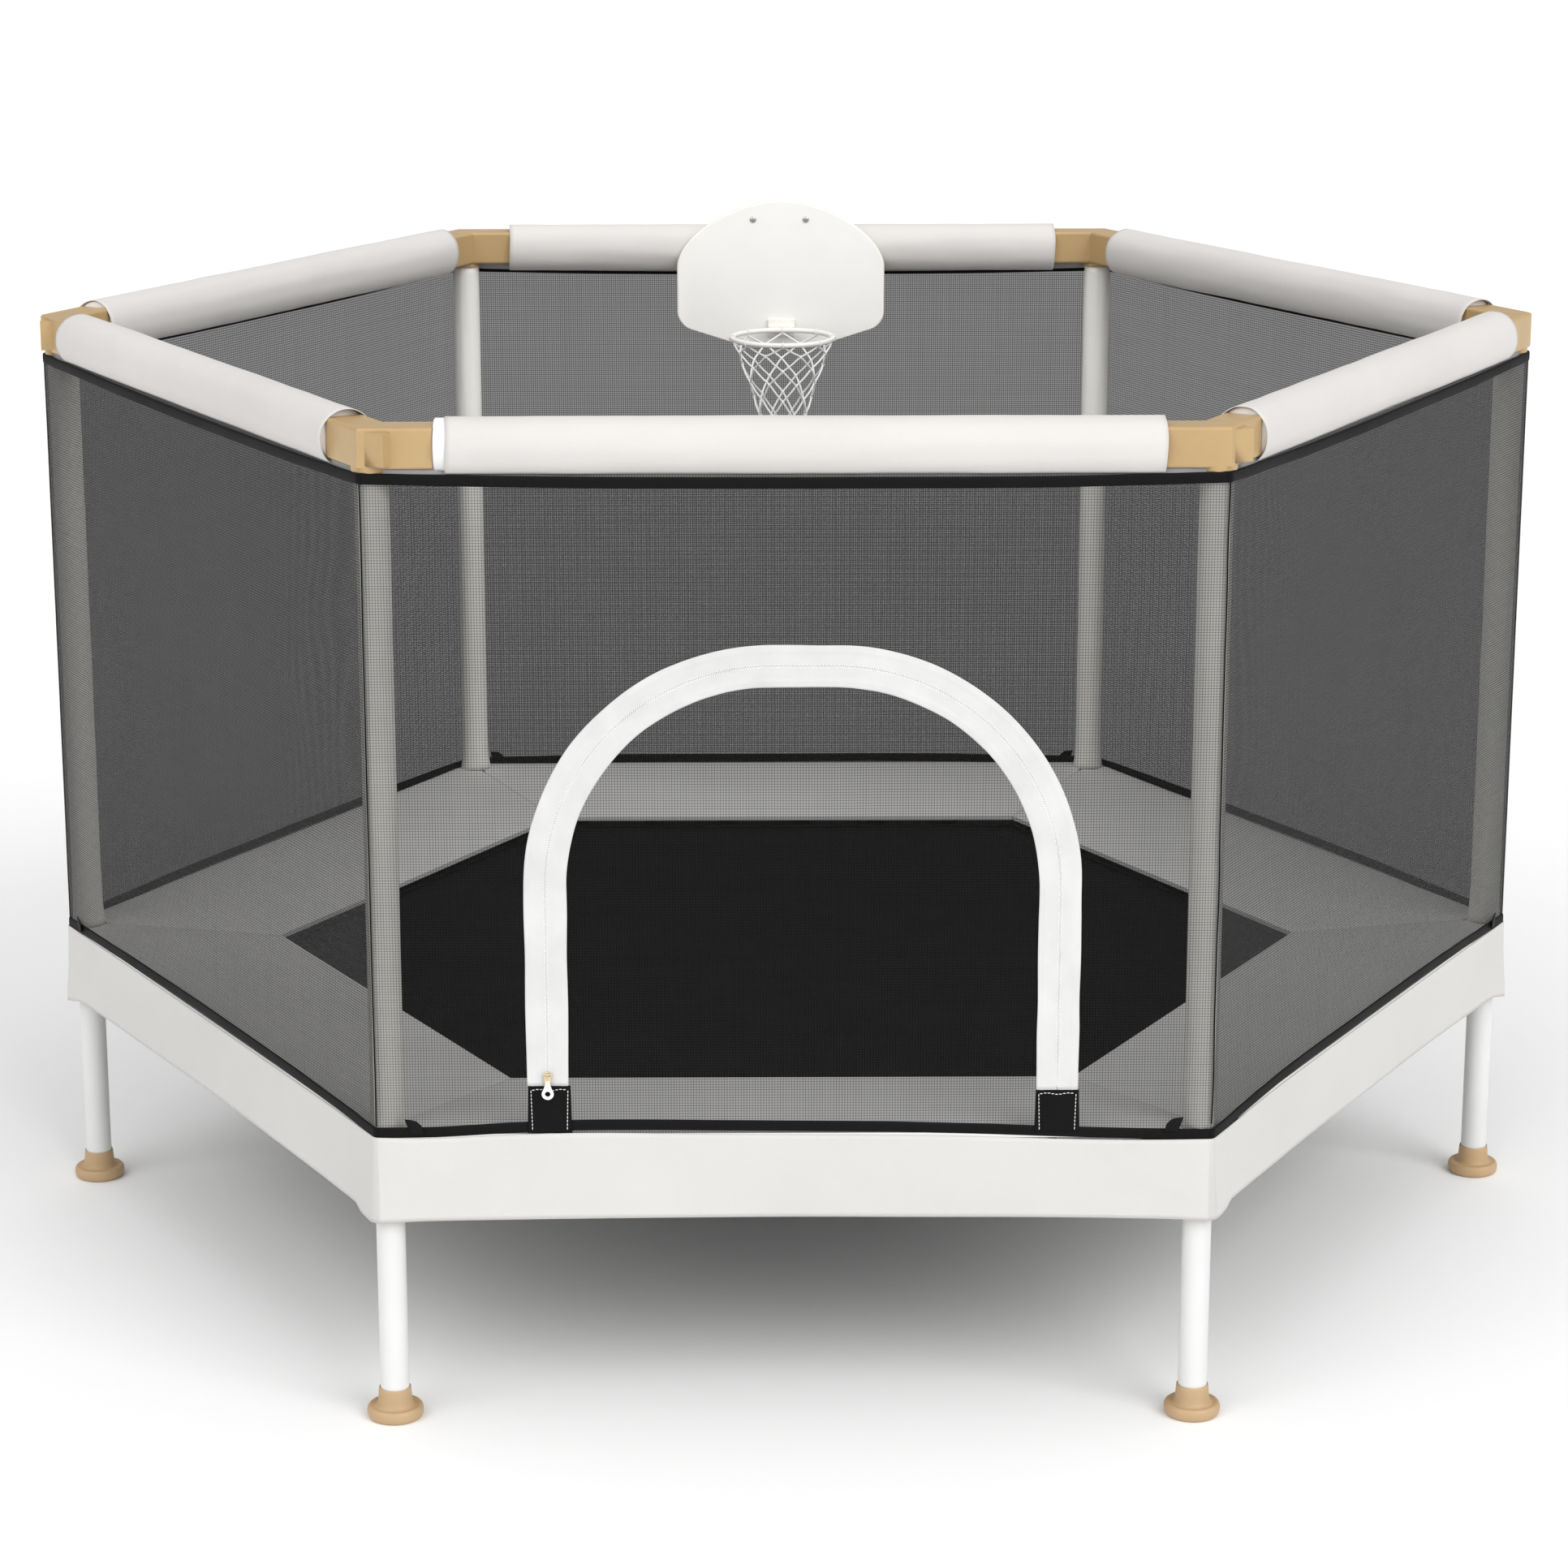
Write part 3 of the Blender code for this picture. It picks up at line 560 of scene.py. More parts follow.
def black_weave(name, colour, pitch, relief, crossed=True):
    """Flat black tape yarns, crossed over and under, with a painted highlight along their tops and painted shade
    between them.
    """
    finish = start_finish(name, colour, 0.52)
    finish.node_tree.nodes["Principled BSDF"].inputs["Specular IOR Level"].default_value = 0.10
    threads = woven(finish, pitch, pitch if crossed else 4 * pitch)
    # The colour follows the thread relief: lighter on the tops as a painted highlight, darker between them as painted
    # shade, with random tone added.
    shade = shaded_between(finish, worked(finish, "ADD", threads, grain(finish, 30, 4.0)),
                           tinted(colour, 0.72), tinted(colour, 1.35), 0.0, 1.2)
    gloss = between(finish, grain(finish, 14, 3.0), 0.46, 0.66)
    return dress(finish, shade, gloss, threads, relief, 0.6)


def hexagon_walk(share, apothem, radius, straight=30, arc=6):
    """Point, outward direction and place along the side (-1 to 1), round a hexagon with round corners."""
    steps = straight + arc
    walked = (share * 6 * steps) % (6 * steps)
    side = int(walked // steps)
    local = walked - side * steps - arc / 2
    half = (apothem - radius) * tan(radians(30))
    sign = -1 if local < straight / 2 else 1
    past = max(0.0, -local, local - straight)
    if past > 0:
        bend = radians(30) * past / (arc / 2)
        point = Vector((sign * (half + radius * sin(bend)), -(apothem - radius) - radius * cos(bend), 0))
        outward = Vector((sign * sin(bend), -cos(bend), 0))
        along = float(sign)
    else:
        along = 2 * local / straight - 1
        point = Vector((half * along, -apothem, 0))
        outward = Vector((0, -1, 0))
    turn = Matrix.Rotation(radians(60 * side), 3, "Z")
    return turn @ point, turn @ outward, along


WALK_STEPS = 6 * 36


def mat_point(u, v):
    y = (2 * v - 1) * MAT_APOTHEM
    half = MAT_CIRCLE - abs(y) * tan(radians(30))
    x = (2 * u - 1) * half
    inside = min(1.0, max(0.0, 1 - hypot(x, y) / MAT_APOTHEM))
    return (x, y, MAT_HEIGHT - 0.0035 * inside)


def hem_point(u, v):
    point, _, along = hexagon_walk(u, MAT_APOTHEM - HEM_WIDTH * v, 0.004)
    tight = 0.0004 * cos(along * pi * LOOPS_PER_SIDE)
    return point + Vector((0, 0, MAT_HEIGHT + 0.0016 + tight * (1 - v)))


def stitch_mesh(spots, length, width=0.0007):
    """Short raised threads; each spot is (place, direction along, direction out of the cloth)."""
    bm = bmesh.new()
    for place, along, out in spots:
        across = along.cross(out).normalized()
        lie = Matrix((along, across, out)).transposed().to_4x4()
        lie.translation = place
        spread = Matrix.Diagonal((length / 2, width / 2, width * 0.4, 1))
        bmesh.ops.create_icosphere(bm, subdivisions=1, radius=1.0, matrix=lie @ spread)
    mesh = bpy.data.meshes.new("stitches")
    bm.to_mesh(mesh)
    bm.free()
    mesh.shade_smooth()
    return mesh


def round_stitches(apothem, radius, height, pitch, out):
    """Spots for a row of stitches parallel to the hexagon's edge; out is None to face outwards."""
    length = 6 * 2 * apothem * tan(radians(30))
    count = int(length / pitch)
    spots = []
    for number in range(count):
        point, outward, _ = hexagon_walk(number / count, apothem, radius, 600, 6)
        along = Vector((0, 0, 1)).cross(outward)
        spots.append((Vector((point.x, point.y, height)), along, out or outward))
    return spots


mat_black = black_weave("black_mat_weave", (0.0062, 0.0062, 0.0060), 0.0022, 0.00018)
webbing = black_weave("black_webbing", (0.0070, 0.0070, 0.0072), 0.0012, 0.00022, False)
thread_black = moulded("black_thread", (0.020, 0.020, 0.020), 0.6)
mat_sheet = add_piece("mat_sheet", to_mesh(mapped_grid(72, 64, (2 * MAT_APOTHEM, 2 * MAT_APOTHEM), mat_point),
                                           "mat", 60), mat_black, "mat", ["jump_mat"])
thickened(mat_sheet, 0.0010)
around_mat = 12 * MAT_APOTHEM * tan(radians(30))
hem_bm = mapped_grid(WALK_STEPS, 4, (around_mat, HEM_WIDTH), hem_point)
mat_hem = add_piece("mat_hem", to_mesh(hem_bm, "hem", 60), webbing, "mat")
thickened(mat_hem, 0.0010)
up = Vector((0, 0, 1))
hem_spots = round_stitches(MAT_APOTHEM - 0.004, 0.004, MAT_HEIGHT + 0.0023, 0.0050, up)
hem_spots += round_stitches(MAT_APOTHEM - HEM_WIDTH + 0.004, 0.004, MAT_HEIGHT + 0.0019, 0.0050, up)
add_piece("mat_stitches", stitch_mesh(hem_spots, 0.0034), thread_black, "mat")


def loop_places(apothem, shift):
    """Middles of the turns along a front side, shifted by half a turn for the frame."""
    clear = 2 * apothem * tan(radians(30)) - 0.060
    turns = 2 * LOOPS_PER_SIDE
    return [clear * ((2 * number + shift + 0.5) / turns - 0.5) for number in range(LOOPS_PER_SIDE)]


def webbing_loop(x):
    """A folded webbing tab that leaves the hem and comes back, wide enough for the cord."""
    path = [(-0.018, 0.0026), (-0.004, 0.0028), (0.0035, 0.0034), (0.0085, 0.0030), (0.0105, 0.0),
            (0.0085, -0.0030), (0.0035, -0.0034), (-0.004, -0.0022), (-0.018, -0.0020)]
    bm = bmesh.new()
    points = [bm.verts.new((x - 0.009, -MAT_APOTHEM - out, MAT_HEIGHT + rise)) for out, rise in path]
    edges = [bm.edges.new(pair) for pair in zip(points, points[1:])]
    made = bmesh.ops.extrude_edge_only(bm, edges=edges)["geom"]
    moved = [part for part in made if isinstance(part, bmesh.types.BMVert)]
    bmesh.ops.translate(bm, verts=moved, vec=(0.018, 0, 0))
    return bm


def merged(parts, name):
    """Several bmeshes in one."""
    whole = bmesh.new()
    for part in parts:
        mesh = bpy.data.meshes.new("part")
        part.to_mesh(mesh)
        part.free()
        whole.from_mesh(mesh)
        bpy.data.meshes.remove(mesh)
    return to_mesh(whole, name, 60)


loop_parts = []
for turn in SIDES.values():
    for x in loop_places(BUNGEE_INNER, 1):
        part = webbing_loop(x)
        part.transform(Matrix.Rotation(radians(turn), 4, "Z"))
        loop_parts.append(part)
mat_loops = add_piece("mat_loops", merged(loop_parts, "loops"), webbing, "mat")
thickened(mat_loops, 0.0009, 0.0)


# Bungee cord
# One black elastic cord laces the mat to the frame: over the tube, under it, and back through the next webbing loop.
# Each side's run is a piece that reaches from the frame to the mat.

BUNGEE_RADIUS = 0.0024


def lacing(points, radius, name):
    """A round cord on a smooth line through these points, as a mesh."""
    curve = bpy.data.curves.new(name, "CURVE")
    curve.dimensions = "3D"
    curve.bevel_depth = radius
    curve.bevel_resolution = 2
    curve.resolution_u = 5
    curve.use_fill_caps = True
    spline = curve.splines.new("BEZIER")
    spline.bezier_points.add(len(points) - 1)
    for target, point in zip(spline.bezier_points, points):
        target.co = point
        target.handle_left_type = target.handle_right_type = "AUTO"
    thing = bpy.data.objects.new(name, curve)
    scene.collection.objects.link(thing)
    bpy.context.view_layer.update()
    graph = bpy.context.evaluated_depsgraph_get()
    mesh = bpy.data.meshes.new_from_object(thing.evaluated_get(graph))
    bpy.data.objects.remove(thing)
    bm = bmesh.new()
    bm.from_mesh(mesh)
    bpy.data.meshes.remove(mesh)
    return bm


def bungee_run():
    wrap = LEG_RADIUS + BUNGEE_RADIUS + 0.0003
    outer = loop_places(BUNGEE_OUTER, 0)
    inner = loop_places(BUNGEE_INNER, 1)
    points = []
    for over, under in zip(outer, inner):
        points += [
            (over - 0.009, -APOTHEM + 0.4 * wrap, MAT_HEIGHT + 0.93 * wrap),
            (over - 0.006, -APOTHEM - 0.5 * wrap, MAT_HEIGHT + 0.88 * wrap),
            (over, -APOTHEM - wrap, MAT_HEIGHT),
            (over + 0.006, -APOTHEM - 0.5 * wrap, MAT_HEIGHT - 0.88 * wrap),
            (over + 0.009, -APOTHEM + 0.4 * wrap, MAT_HEIGHT - 0.93 * wrap),
            (under - 0.0085, -BUNGEE_INNER - 0.0080, MAT_HEIGHT - 0.001),
            (under, -BUNGEE_INNER, MAT_HEIGHT),
            (under + 0.0085, -BUNGEE_INNER - 0.0080, MAT_HEIGHT + 0.001),
        ]
    return points


bungee_black = black_weave("black_elastic", (0.016, 0.016, 0.017), 0.0011, 0.0001)
for where, turn in SIDES.items():
    mesh = to_mesh(lacing(bungee_run(), BUNGEE_RADIUS, "run"), "bungee", 60)
    run = add_piece(f"bungee_{where}", turned(mesh, turn), bungee_black, None,
                    ["bungee_cord"] if where == "front" else ())
    outward = Matrix.Rotation(radians(turn), 3, "Z") @ Vector((0, -1, 0))
    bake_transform(run)


# Spring pad
# Six panels of foam in white coated cloth, sewn together at the corners. They cover the frame tubes and
# the bungee, and slope down onto the mat's edge.

PAD_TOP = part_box("spring_pad")[1].z
PAD_INNER_TOP = 0.2525
PAD_INNER_APOTHEM = 0.508 * cos(radians(30))
PAD_OUTER_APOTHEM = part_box("spring_pad")[1].y
PAD_KNEE_APOTHEM = APOTHEM - 0.016
PAD_FOAM = 0.0046
PAD_SEAM = 0.0006
PAD_PUFF = 0.0045
NOTCH_RADIUS = SLEEVE_RADIUS + 0.0027
PAD_COLUMNS, PAD_ROWS = 64, 24


def pad_point(u, v):
    apothem = PAD_INNER_APOTHEM + v * (PAD_OUTER_APOTHEM - PAD_INNER_APOTHEM)
    half = apothem * tan(radians(30)) - PAD_SEAM
    beside = apothem - APOTHEM
    if abs(beside) < NOTCH_RADIUS:
        half = min(half, POST_CIRCLE / 2 - sqrt(NOTCH_RADIUS**2 - beside**2))
    slope = min(1.0, (apothem - PAD_INNER_APOTHEM) / (PAD_KNEE_APOTHEM - PAD_INNER_APOTHEM))
    height = PAD_INNER_TOP + slope * (PAD_TOP - PAD_INNER_TOP) - 0.0022
    return ((2 * u - 1) * half, -apothem, height)


def puffed(thing, pins, pressure, furthest, frames=16):
    """Blows a closed cloth piece up a little with its pinned points held, then keeps the result."""
    rest = [vert.co.copy() for vert in thing.data.vertices]
    group = thing.vertex_groups.new(name="seam")
    group.add(pins, 1.0, "REPLACE")
    blow = thing.modifiers.new("blow", "CLOTH")
    blow.settings.quality = 6
    blow.settings.mass = 0.15
    blow.settings.tension_stiffness = blow.settings.compression_stiffness = 30
    blow.settings.bending_stiffness = 2.0
    blow.settings.use_pressure = True
    blow.settings.uniform_pressure_force = pressure
    blow.settings.vertex_group_mass = "seam"
    blow.settings.effector_weights.gravity = 0
    blow.point_cache.frame_start, blow.point_cache.frame_end = 1, frames
    for number in range(1, frames + 1):
        scene.frame_set(number)
    graph = bpy.context.evaluated_depsgraph_get()
    found = thing.evaluated_get(graph).to_mesh()
    places = [vert.co.copy() for vert in found.vertices]
    thing.evaluated_get(graph).to_mesh_clear()
    thing.modifiers.remove(blow)
    thing.vertex_groups.remove(group)
    scene.frame_set(1)
    for vert, start, place in zip(thing.data.vertices, rest, places):
        move = place - start
        vert.co = start + move * min(1.0, furthest / max(move.length, 1e-9))
    return thing


def pad_panel():
    bm = mapped_grid(PAD_COLUMNS, PAD_ROWS, (2 * 0.36, PAD_OUTER_APOTHEM - PAD_INNER_APOTHEM), pad_point)
    edge = {vert.index for vert in bm.verts if vert.is_boundary}
    bm.verts.index_update()
    bmesh.ops.recalc_face_normals(bm, faces=bm.faces)
    for vert in bm.verts:
        if not vert.is_boundary:
            vert.co.z += 0.0010
    bmesh.ops.solidify(bm, geom=list(bm.faces), thickness=PAD_FOAM)
    mesh = to_mesh(bm, "pad", 60)
    thing = bpy.data.objects.new("pad_panel", mesh)
    scene.collection.objects.link(thing)
    inner_end = -PAD_INNER_APOTHEM - 0.002
    outer_end = -PAD_OUTER_APOTHEM + 0.002
    pins = []
    for vert in mesh.vertices:
        x, y, _ = vert.co
        half = -y * tan(radians(30)) - PAD_SEAM - 0.002
        if abs(x) > half or y > inner_end or y < outer_end:
            pins.append(vert.index)
    puffed(thing, pins, 3.0, PAD_PUFF)
    mesh = thing.data
    bpy.data.objects.remove(thing)
    return mesh


pad_cloth = cloth("white_pad_cloth", (0.860, 0.850, 0.835), 0.55, 0.0008, 0.00006, 0.10, 0.0014)
panel_mesh = pad_panel()
panels = bmesh.new()
for turn in SIDES.values():
    panels.from_mesh(turned(panel_mesh, turn))
frame_pad = add_piece("frame_pad", to_mesh(panels, "frame_pad", 60), pad_cloth,
                      stands_for=["spring_pad"])


# Skirt
# A band of white cloth sewn to the pad's outer edge. It hangs straight, with a stitched hem that dips and
# flares at the legs.

SKIRT_LOW, SKIRT_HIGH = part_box("skirt")[0].z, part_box("skirt")[1].z
SKIRT_APOTHEM = (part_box("skirt")[1].y + APOTHEM + 0.0172) / 2
SKIRT_CORNER = 0.0055
SKIRT_HEM = 0.1918


def front_sway(point):
    """The front edge of the pad isn't straight: it rises left of the middle and falls towards the right."""
    bump = 0.0024 * exp(-(((point.x + 0.18) / 0.10) ** 2))
    bump -= 0.0052 * exp(-(((point.x - 0.30) / 0.15) ** 2))
    bump -= 0.0022 * exp(-(((point.x + 0.31) / 0.06) ** 2))
    return bump * exp(-(((point.y + SKIRT_APOTHEM) / 0.10) ** 2))


def skirt_point(u, v):
    point, outward, along = hexagon_walk(u, SKIRT_APOTHEM, SKIRT_CORNER, 60, 8)
    from_corner = (1 - abs(along)) * SKIRT_APOTHEM * tan(radians(30))
    near = exp(-((from_corner / 0.022) ** 2))
    wide = exp(-((from_corner / 0.110) ** 2))
    on_front = point.y < -0.96 * SKIRT_APOTHEM
    raised = 0.0 if on_front else 0.0050 * (1 - exp(-((from_corner / 0.016) ** 2)))
    bottom = SKIRT_HEM - 0.0034 * along**2 + raised
    high = SKIRT_HIGH + 0.0012 - 0.0006 * along**2 + front_sway(point)
    height = bottom + v * (high - bottom)
    down = 1 - v
    flare = down**1.5 * (0.0030 * near + 0.0010 * wide)
    waves = 0.0011 * down * ripple(point.x * 7, point.y * 7, height * 3, 4.2)
    slant = from_corner * 0.9 - (SKIRT_HIGH - height) * 1.6
    crease = 0.0007 * wide * exp(-((slant / 0.010) ** 2)) * sin(pi * v)
    low_slant = from_corner * 0.45 - (height - bottom) * 0.9
    crease += 0.0006 * wide * exp(-(((low_slant + 0.012) / 0.006) ** 2)) * sin(pi * v)
    out = flare + waves * (1 - near) + crease
    place = point + outward * out
    return (place.x, place.y, height)


skirt_cloth = cloth("white_skirt_cloth", (0.660, 0.645, 0.628), 0.72, 0.0008, 0.00008, 0.12, 0.0008)
around_skirt = 12 * SKIRT_APOTHEM * tan(radians(30))
bm = mapped_grid(6 * 68, 18, (around_skirt, SKIRT_HIGH - SKIRT_HEM), skirt_point)
skirt = add_piece("hanging_skirt", to_mesh(bm, "skirt", 60), skirt_cloth,
                  stands_for=["skirt"])
thickened(skirt, 0.0009, 1.0)


# Net panels
# Black polyester mesh in six panels between the rails and the pad. The three panels at the back are a
# denser knit than the three in front, and the front one has an arched doorway.

NET_LOW, NET_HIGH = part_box("net_front")[0].z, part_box("net_front")[1].z
NET_APOTHEM = -(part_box("net_front")[0].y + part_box("net_front")[1].y) / 2
NET_HALF = NET_APOTHEM * tan(radians(30))
NET_PITCH = 0.0024
DOOR_LOW, DOOR_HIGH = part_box("door_flap")
DOOR_CENTRE = (DOOR_LOW.x + DOOR_HIGH.x) / 2
DOOR_SILL = DOOR_LOW.z - 0.0004
DOOR_FLAT = 0.026
DOOR_RADIUS = 0.192
DOOR_SPRING = DOOR_HIGH.z + 0.0004 - DOOR_RADIUS


def net_finish(name, thread, hole_cover, thread_cover, shade=0.008):
    """Black knitted mesh: uneven threads of this share of the pitch, with fine filaments in the holes."""
    finish = start_finish(name, (shade, shade, shade), 0.7)
    shader = finish.node_tree.nodes["Principled BSDF"]
    shader.inputs["Specular IOR Level"].default_value = 0.08
    cloth_map = step(finish, "UVMap", uv_map="weave").outputs[0]
    spot = step(finish, "SeparateXYZ", {"Vector": cloth_map})
    masks = []
    for axis, stretch in (("X", (700, 14, 1)), ("Y", (14, 700, 1))):
        turns = worked(finish, "MULTIPLY", spot.outputs[axis], 2 * pi / NET_PITCH)
        wave = worked(finish, "COSINE", turns)
        spread = step(finish, "Mapping", {"Vector": cloth_map, "Scale": stretch}).outputs[0]
        uneven = step(finish, "TexNoise", {"Vector": spread, "Scale": 0.35, "Detail": 2.0}).outputs[0]
        limit = between(finish, uneven, cos(pi * thread * 0.75), cos(pi * thread * 1.25))
        edge = step(finish, "MapRange", {
            "Value": wave, "From Min": worked(finish, "SUBTRACT", limit, 0.35),
            "From Max": worked(finish, "ADD", limit, 0.35),
        })
        masks.append(edge.outputs[0])
    both = worked(finish, "MAXIMUM", *masks)
    cover = between(finish, both, hole_cover, thread_cover)
    finish.node_tree.links.new(cover, shader.inputs["Alpha"])
    return finish


def net_wave(x, z, seed):
    """How far a taut panel stands out of its plane: nothing at its edges."""
    hold = min(1.0, 8 * (1 - abs(x) / NET_HALF)) * sin(pi * (z - NET_LOW) / (NET_HIGH - NET_LOW))
    return hold * (0.0022 * ripple(x * 6, 0, z * 4, seed) + 0.0010 * ripple(x * 16, 0, z * 11, seed + 5))


def panel_point(u, v, seed):
    x = (2 * u - 1) * (NET_HALF - 0.0008)
    z = NET_LOW + v * (NET_HIGH - NET_LOW)
    return (x, -NET_APOTHEM + net_wave(x, z, seed), z)


open_net = net_finish("black_net_open", 0.245, 0.30, 0.74)
# The two side panels get a lighter thread colour than the other black panels: painted light for the brighter look these
# panels have under the lamps.
side_net_painted_lighter = net_finish("black_net_side_painted_lighter", 0.31, 0.48, 0.88, 0.034)
dense_net = net_finish("black_net_dense", 0.41, 0.71, 0.90)
panel_size = (2 * NET_HALF, NET_HIGH - NET_LOW)
for number, (where, turn) in enumerate(list(SIDES.items())[1:]):
    bm = mapped_grid(64, 52, panel_size, lambda u, v, s=number: panel_point(u, v, 3.1 * s + 1))
    look = side_net_painted_lighter if where in ("right_front", "left_front") else dense_net
    panel = add_piece(f"net_panel_{where}", turned(to_mesh(bm, "net", 180), turn), look,
                      stands_for=["net_wall"] if where == "back" else ())


def door_half(z):
    """Half the doorway's width at a height."""
    rise = z - DOOR_SPRING
    if rise <= 0:
        return DOOR_FLAT + DOOR_RADIUS
    return DOOR_FLAT + sqrt(max(0.0, DOOR_RADIUS**2 - rise**2))


def net_rows():
    """Heights of the front panel's rows; they crowd together towards the top of the arch."""
    rows = [NET_LOW, (NET_LOW + DOOR_SILL) / 2, DOOR_SILL]
    rows += [DOOR_SILL + (DOOR_SPRING - DOOR_SILL) * k / 14 for k in range(1, 15)]
    rows += [DOOR_SPRING + DOOR_RADIUS * sin(radians(90 * k / 24)) for k in range(1, 25)]
    top = rows[-1]
    rows += [top + (NET_HIGH - top) * k / 12 for k in range(1, 13)]
    return rows


def front_panel():
    rows, side, middle = net_rows(), 14, 28
    bm = bmesh.new()
    bmesh.ops.create_grid(bm, x_segments=2 * side + middle, y_segments=len(rows) - 1, size=0.5)
    uv = bm.loops.layers.uv.new("weave")
    end = NET_HALF - 0.0008
    gone = []
    for face in bm.faces:
        spot = face.calc_center_median()
        column = (spot.x + 0.5) * (2 * side + middle)
        row = (spot.y + 0.5) * (len(rows) - 1)
        if side < column < side + middle and 2 < row < 2 + 14 + 24:
            gone.append(face)
    for vert in bm.verts:
        column = round((vert.co.x + 0.5) * (2 * side + middle))
        z = rows[round((vert.co.y + 0.5) * (len(rows) - 1))]
        half = door_half(min(z, rows[2 + 14 + 24]))
        left, right = DOOR_CENTRE - half, DOOR_CENTRE + half
        if column <= side:
            x = -end + (left + end) * column / side
        elif column <= side + middle:
            x = left + 2 * half * (column - side) / middle
        else:
            x = right + (end - right) * (column - side - middle) / side
        vert.co = (x, -NET_APOTHEM + net_wave(x, z, 8.0), z)
    for face in bm.faces:
        for loop in face.loops:
            loop[uv].uv = (loop.vert.co.x, loop.vert.co.z)
    bmesh.ops.delete(bm, geom=gone, context="FACES")
    return bm


front_net = add_piece("net_panel_front", to_mesh(front_panel(), "net", 180), open_net,
                      stands_for=["net_front"])
door_area = pi * DOOR_RADIUS**2 / 2 + 2 * DOOR_FLAT * DOOR_RADIUS
door_area += 2 * (DOOR_FLAT + DOOR_RADIUS) * (DOOR_SPRING - DOOR_SILL)


# Net bindings, corner seams and header
# Black tape is folded over the net's top and bottom edges and sewn. A narrow pale band ties the top
# binding up to the rails, and a thin seam runs down each corner.

BINDING_THICK = 0.0026
BINDING_CORNER = 0.0060


def binding_point(u, v, middle, tall, lift, wobble):
    point, outward, along = hexagon_walk(u, NET_APOTHEM, BINDING_CORNER, 60, 8)
    angle = 2 * pi * v
    squared = 0.62
    out = BINDING_THICK / 2 * (abs(cos(angle)) ** squared) * (1 if cos(angle) > 0 else -1)
    rise = tall / 2 * (abs(sin(angle)) ** squared) * (1 if sin(angle) > 0 else -1)
    uneven = wobble * ripple(point.x * 6, point.y * 6, 0, middle)
    place = point + outward * (out + 0.0004 * ripple(point.x * 20, point.y * 20, 1, 2.0))
    sway = front_sway(point) if middle < 0.5 else 0.0
    return (place.x, place.y, middle + rise + lift * abs(along) ** 2.5 + uneven + sway)


binding_cloth = black_weave("black_binding", (0.0055, 0.0055, 0.0055), 0.0010, 0.00015, False)
around_net = 12 * NET_HALF
for name, middle, tall, lift, wobble in (
    ("net_top_binding", 0.8350, 0.0096, 0.0042, 0.0006),
    ("net_bottom_binding", 0.2744, 0.0096, -0.0048, 0.0009),
):
    bm = mapped_grid(6 * 68, 12, (around_net, 2 * tall),
                     lambda u, v, m=middle, t=tall, l=lift, w=wobble: binding_point(u, v, m, t, l, w))
    add_piece(name, to_mesh(bm, name, 70), binding_cloth)


def header_point(u, v):
    point, outward, along = hexagon_walk(u, NET_APOTHEM - 0.0036, BINDING_CORNER, 60, 8)
    from_corner = (1 - abs(along)) * NET_HALF
    place = point + outward * 0.0004 * ripple(point.x * 120, point.y * 120, 0, 1.0)
    foot = 0.8340 + 0.0042 * abs(along) ** 2.5
    top = 0.8425 + 0.0052 / (1 + exp((from_corner - 0.062) / 0.002))
    return (place.x, place.y, foot + v * (top - foot))


header_cloth = cloth("pale_header_cloth", (0.42, 0.42, 0.42), 0.75, 0.0011, 0.00012, 0.1, 0.0006)
bm = mapped_grid(6 * 68, 2, (around_net, 0.010), header_point)
header = add_piece("net_header", to_mesh(bm, "header", 60), header_cloth)
thickened(header, 0.0006, 0.0)

SEAM_RADIUS = 0.0007


def corner_seam(seed):
    """A thin rolled seam from binding to binding that wanders a little."""
    corner = NET_APOTHEM / cos(radians(30)) - 0.0012
    low, high, count = 0.2745, 0.8385, 26
    points = []
    for number in range(count + 1):
        height = low + (high - low) * number / count
        drift = 0.0009 * ripple(height * 14, 0, 0, seed)
        points.append((corner + 0.5 * drift, drift, height))
    return lacing(points, SEAM_RADIUS, "seam")


seams = []
for number, turn in enumerate(CORNERS.values()):
    part = corner_seam(2.3 * number)
    part.transform(Matrix.Rotation(radians(turn), 4, "Z"))
    seams.append(part)
add_piece("net_corner_seams", merged(seams, "seams"), binding_cloth)


# Tie ends
# Short tails of black webbing stick up behind the bottom binding beside the posts, where the net is tied down.

TIE_SPOTS = [("front", -1), ("front", 1), ("left_front", -1), ("right_front", 1),
             ("left_back", 1), ("right_back", -1), ("back", -1), ("back", 1)]


def tie_end(end):
    bm = bmesh.new()
    outline = [(0.004, -0.005), (0.014, -0.005), (0.0125, 0.0008), (0.0085, 0.0042), (0.0050, 0.0047), (0.0, 0.0052)]
    points = [bm.verts.new((x, 0, z)) for x, z in outline]
    bm.faces.new(points)
    made = bmesh.ops.extrude_face_region(bm, geom=list(bm.faces))["geom"]
    moved = [part for part in made if isinstance(part, bmesh.types.BMVert)]
    bmesh.ops.translate(bm, verts=moved, vec=(0, 0.0011, 0))
    bmesh.ops.bevel(bm, geom=list(bm.edges), offset=0.0003, segments=1, profile=0.5,
                    affect="EDGES", material=-1)
    bend = Matrix.Rotation(radians(-8), 4, "Z")
    mirror = Matrix.Diagonal((-end, 1, 1, 1))
    spot = Matrix.Translation((end * 0.3345, -NET_APOTHEM - 0.0016, 0.2752))
    bm.transform(spot @ mirror @ bend @ Matrix.Diagonal((1.2, 1, 1.25, 1)))
    return bm


ties = []
for where, end in TIE_SPOTS:
    part = tie_end(end)
    part.transform(Matrix.Rotation(radians(SIDES[where]), 4, "Z"))
    ties.append(part)
add_piece("net_tie_ends", merged(ties, "ties"), webbing)


# Door
# An arched flap of the same open mesh. Its foot is sewn to the front panel, and the zip closes the rest.

TAPE_OUT = 0.0011
TAPE_HALF = 0.0181


